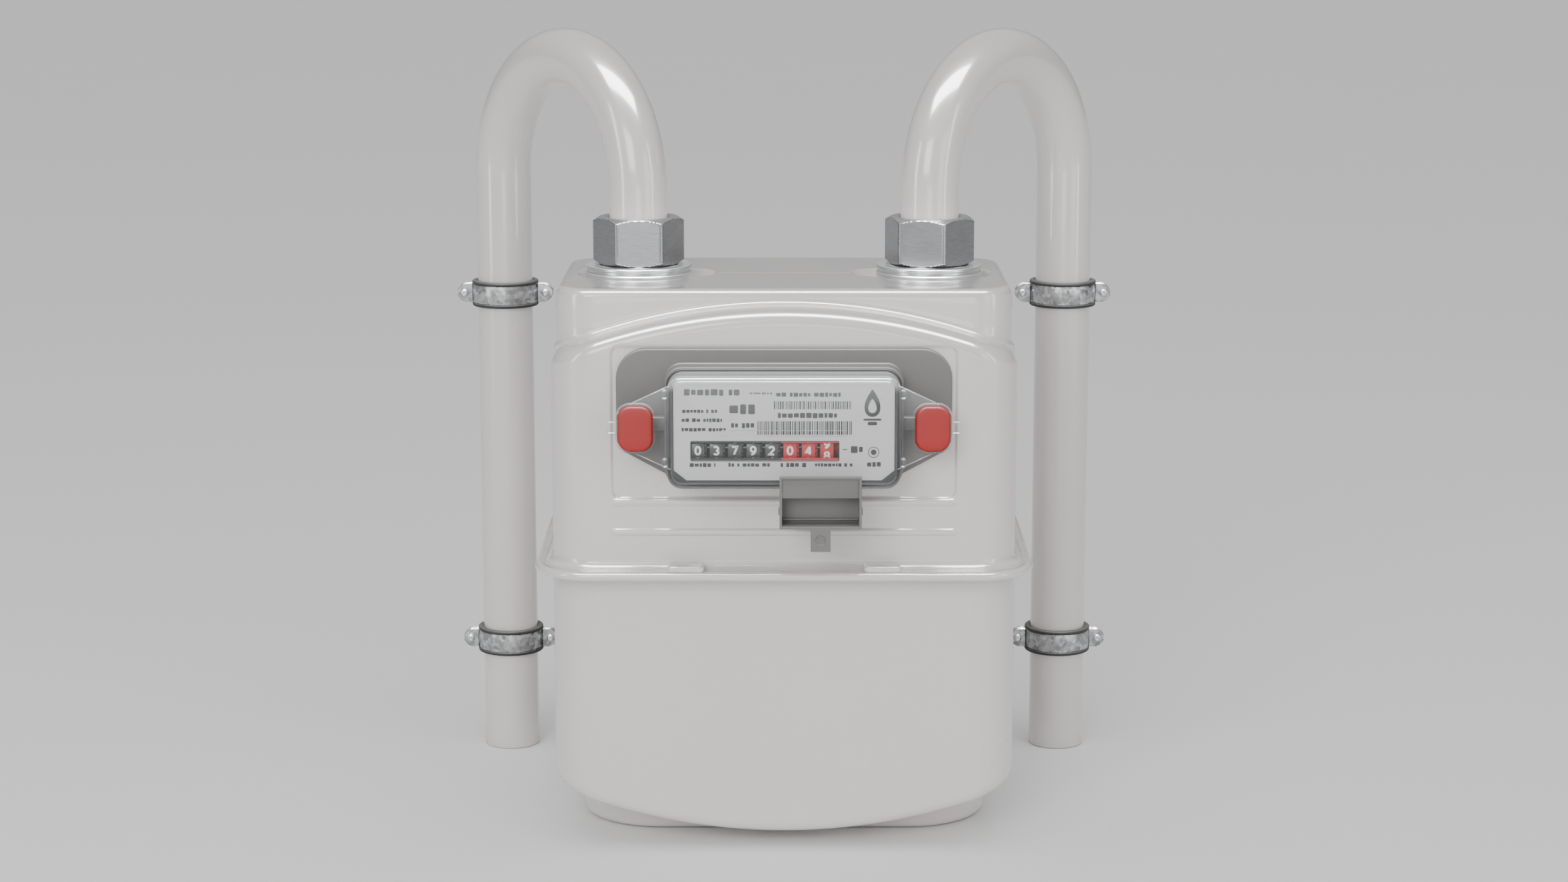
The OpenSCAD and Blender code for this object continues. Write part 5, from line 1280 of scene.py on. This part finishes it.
class METER_OT_counter(bpy.types.Operator):
    """Makes the eight number wheels with their digits"""
    bl_idname = "meter.counter"
    bl_label = "Counter"

    # the reading, the last wheel between two digits; the rims' width; and the first red wheel, counted from 0
    shown = (0, 3, 7, 9, 2, 0, 4, 8.44)
    rim = 4.8
    first_red = 5

    def execute(self, context):
        rim = self.rim
        low, high = WHEELS[0]
        axis_y, axis_z = (low[1] + high[1]) / 2, (low[2] + high[2]) / 2
        radius = (high[2] - low[2]) / 2
        pitch = (WHEELS[6][0][0] - WHEELS[1][0][0]) / 5
        for k in range(8):
            x0 = low[0] + k * pitch
            web = radius - 1
            drum = [(1.06, 0.05), (2.6, 0.05), (2.6, 1.2), (web, 1.2), (web, 0.12), (radius - 0.85, 0)]
            drum += fillet(radius - 0.2, 0, radius, 0.2, 4, -1)
            drum += fillet(radius, rim - 0.2, radius - 0.2, rim, 4)
            drum += [(radius - 0.85, rim), (web, rim - 0.12), (web, rim - 1.2), (2.6, rim - 1.2)]
            reach = WHEELS[k][1][0] - x0 - (2.0 if k == 7 else 0)
            drum += [(2.6, reach), (1.06, reach)]
            skins = [loft(lathe(drum, (x0, axis_y, axis_z), axis="x", count=120), "loop")]
            if k < 7:
                skins.append(self.gear(20, 4.96, 6.27, x0 + rim, 0.7, axis_y, axis_z))
            else:
                skins.append(self.gear(12, 3.8, 4.8, x0 + reach - 0.3, 1.6, axis_y, axis_z, 0.62))
            digits = []
            for digit in range(10):
                turn = 36 * (digit - self.shown[k])
                digits += drum_digit(digit, x0 + rim / 2, axis_y, axis_z, radius, turn)
            node, red = f"number_wheel_{k + 1}", k >= self.first_red
            skins += [(*skin, 1) for skin in digits]
            piece(f"wheel_{k + 1}", skins, [wheel_finish(red), digit_white()], body=node,
                  replaces=(node,))
        return {"FINISHED"}

    @staticmethod
    def gear(teeth, root, tip, x, width, axis_y, axis_z, shrink=1.0):
        """Gear outline between a root and a tip radius, carried along X and shrunk evenly for a bevel."""
        step = 2 * np.pi / teeth
        turn = (np.arange(teeth)[:, None] + np.array([-0.28, -0.15, 0.15, 0.28])) * step + np.pi / 2
        r = np.array([root, tip, tip, root]) + 0 * turn
        y, z = (r * np.cos(turn)).ravel(), (r * np.sin(turn)).ravel()
        rings = []
        for scale, place in ((0.25, x), (1.0, x), (shrink, x + width), (0.25, x + width)):
            rings.append(np.c_[np.full(len(y), place), axis_y + scale * y, axis_z + scale * z])
        return loft(rings, "loop")


# ---------------------------------------------------------------- inside, stage and camera

class METER_OT_inside(bpy.types.Operator):
    """Gives the CAD pieces that stay, most of them inside the casing, their own finishes"""
    bl_idname = "meter.inside"
    bl_label = "Inner pieces"

    def execute(self, context):
        by_slot = {"paint": enamel, "steel": bright_steel, "zinc": zinc, "rubber": rubber,
                   "grey_plastic": grey_plastic, "clear_plastic": clear_plastic, "dial": dial_white,
                   "wheel_black": lambda: wheel_finish(False), "seal_red": seal_red, "acetal": acetal,
                   "brass": brass, "membrane": membrane}
        slots = {row["node"]: row["material_slot"] for row in frame["record"]["subparts"]}
        for node, obj in frame["nodes"].items():
            material = by_slot[slots[node]]()
            if not obj.material_slots:
                obj.data.materials.append(material)
            for place in obj.material_slots:
                place.material = material
        return {"FINISHED"}


def studio_light(tree):
    """Soft light from all round: brightest overhead, dim at the sides, and lifted in front and behind."""
    background = tree.nodes["Background"]
    split = tree.nodes.new("ShaderNodeSeparateXYZ")
    tree.links.new(tree.nodes.new("ShaderNodeTexCoord").outputs["Generated"], split.inputs[0])
    ramp = tree.nodes.new("ShaderNodeMapRange")
    ramp.interpolation_type = "SMOOTHSTEP"
    ramp.inputs["From Min"].default_value = 0.05
    ramp.inputs["From Max"].default_value = 0.65
    ramp.inputs["To Min"].default_value = 0.12
    ramp.inputs["To Max"].default_value = 0.82
    tree.links.new(split.outputs["Z"], ramp.inputs["Value"])
    front_back = math(tree, "MULTIPLY", math(tree, "POWER", split.outputs["Y"], 2.0), 0.30)
    soft = math(tree, "ADD", ramp.outputs["Result"], front_back)
    seen = tree.nodes.new("ShaderNodeMix")
    tree.links.new(tree.nodes.new("ShaderNodeLightPath").outputs["Is Camera Ray"], seen.inputs["Factor"])
    tree.links.new(soft, seen.inputs["A"])
    seen.inputs["B"].default_value = 0.53
    tree.links.new(seen.outputs["Result"], background.inputs["Strength"])
    background.inputs["Color"].default_value = (1.0, 1.0, 1.0, 1)


class METER_OT_stage(bpy.types.Operator):
    """Adds the floor, the soft lights and the camera"""
    bl_idname = "meter.stage"
    bl_label = "Floor, lights and camera"

    def execute(self, context):
        x, y = np.meshgrid(np.linspace(-14, 14, 29), np.linspace(-6, 22, 29), indexing="ij")
        verts = np.stack([x, y, 0 * x - 0.0002], -1).reshape(-1, 3)
        i, j = np.meshgrid(np.arange(28), np.arange(28), indexing="ij")
        a = (i * 29 + j).ravel()
        faces = np.stack([a, a + 29, a + 30, a + 1], -1)
        mesh = bpy.data.meshes.new("floor")
        mesh.from_pydata(verts.tolist(), [], faces.tolist())
        mesh.materials.append(finish("floor", colours().floor, rough=0.85, drift=0.05, patch=1.5, grain=60.0,
                                     shade=0.02, bump=0.02, bump_depth=0.0002))
        floor = bpy.data.objects.new("floor", mesh)
        context.scene.collection.objects.link(floor)

        world = bpy.data.worlds.new("studio")
        world.use_nodes = True
        studio_light(world.node_tree)
        context.scene.world = world

        # name, place, aim, width, height, watts, lights matte surfaces
        lights = [("key", (-0.55, -1.7, 0.85), (0, 0, 0.12), 0.8, 0.8, 17.0, True),
                  ("fill", (1.1, -1.3, 0.45), (0, 0, 0.14), 0.6, 0.9, 4.5, True),
                  ("top_strip", (0.0, -0.30, 1.25), (0, 0, 0.18), 1.2, 0.42, 105.0, False),
                  ("low_strip", (0.0, -1.25, 0.13), (0, 0, 0.2), 0.4, 0.14, 0.7, False),
                  ("left_strip", (-1.3, -0.75, 0.45), (0, 0, 0.14), 0.22, 1.1, 7.0, False),
                  ("right_strip", (1.3, -0.75, 0.45), (0, 0, 0.14), 0.18, 1.1, 5.0, False)]
        for name, place, aim, w, h, watts, matte in lights:
            data = bpy.data.lights.new(name, "AREA")
            data.shape = "RECTANGLE"
            data.size, data.size_y = w, h
            data.energy = watts
            lamp = bpy.data.objects.new(name, data)
            lamp.location = place
            lamp.rotation_euler = (Vector(aim) - Vector(place)).to_track_quat("-Z", "Y").to_euler()
            lamp.visible_diffuse = matte
            lamp.visible_camera = False
            context.scene.collection.objects.link(lamp)

        data = bpy.data.cameras.new("camera")
        data.lens, data.sensor_width = 72.0, 36.0
        data.clip_start, data.clip_end = 0.05, 60.0
        camera = bpy.data.objects.new("camera", data)
        camera.location = (0.0, -1.180386, 0.361477)
        aim = Vector((0, 0, 0.141)) - camera.location
        camera.rotation_euler = aim.to_track_quat("-Z", "Y").to_euler()
        context.scene.collection.objects.link(camera)
        context.scene.camera = camera
        return {"FINISHED"}


# ---------------------------------------------------------------- panel and registration

OPERATORS = (METER_OT_casing, METER_OT_rim, METER_OT_ports, METER_OT_pipes, METER_OT_clamps,
             METER_OT_index, METER_OT_seals, METER_OT_pocket, METER_OT_dial, METER_OT_counter,
             METER_OT_inside, METER_OT_stage)


class METER_PT_panel(bpy.types.Panel):
    """Lists the meter's pieces, sizes and colours"""
    bl_idname = "METER_PT_panel"
    bl_label = "Gas Meter"
    bl_space_type = "VIEW_3D"
    bl_region_type = "UI"
    bl_category = "Gas Meter"

    def draw(self, context):
        for operator in OPERATORS:
            self.layout.operator(operator.bl_idname)
        for group in (context.scene.meter_sizes, context.scene.meter_colours):
            for name in group.__annotations__:
                self.layout.prop(group, name)


CLASSES = (MeterSizes, MeterColours, *OPERATORS, METER_PT_panel)


def register():
    for cls in CLASSES:
        bpy.utils.register_class(cls)
    bpy.types.Scene.meter_sizes = PointerProperty(type=MeterSizes)
    bpy.types.Scene.meter_colours = PointerProperty(type=MeterColours)


def unregister():
    del bpy.types.Scene.meter_colours
    del bpy.types.Scene.meter_sizes
    for cls in reversed(CLASSES):
        bpy.utils.unregister_class(cls)


def main():
    register()
    for operator in OPERATORS:
        group, name = operator.bl_idname.split(".")
        getattr(getattr(bpy.ops, group), name)()
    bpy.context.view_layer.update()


if __name__ == "__main__":
    main()
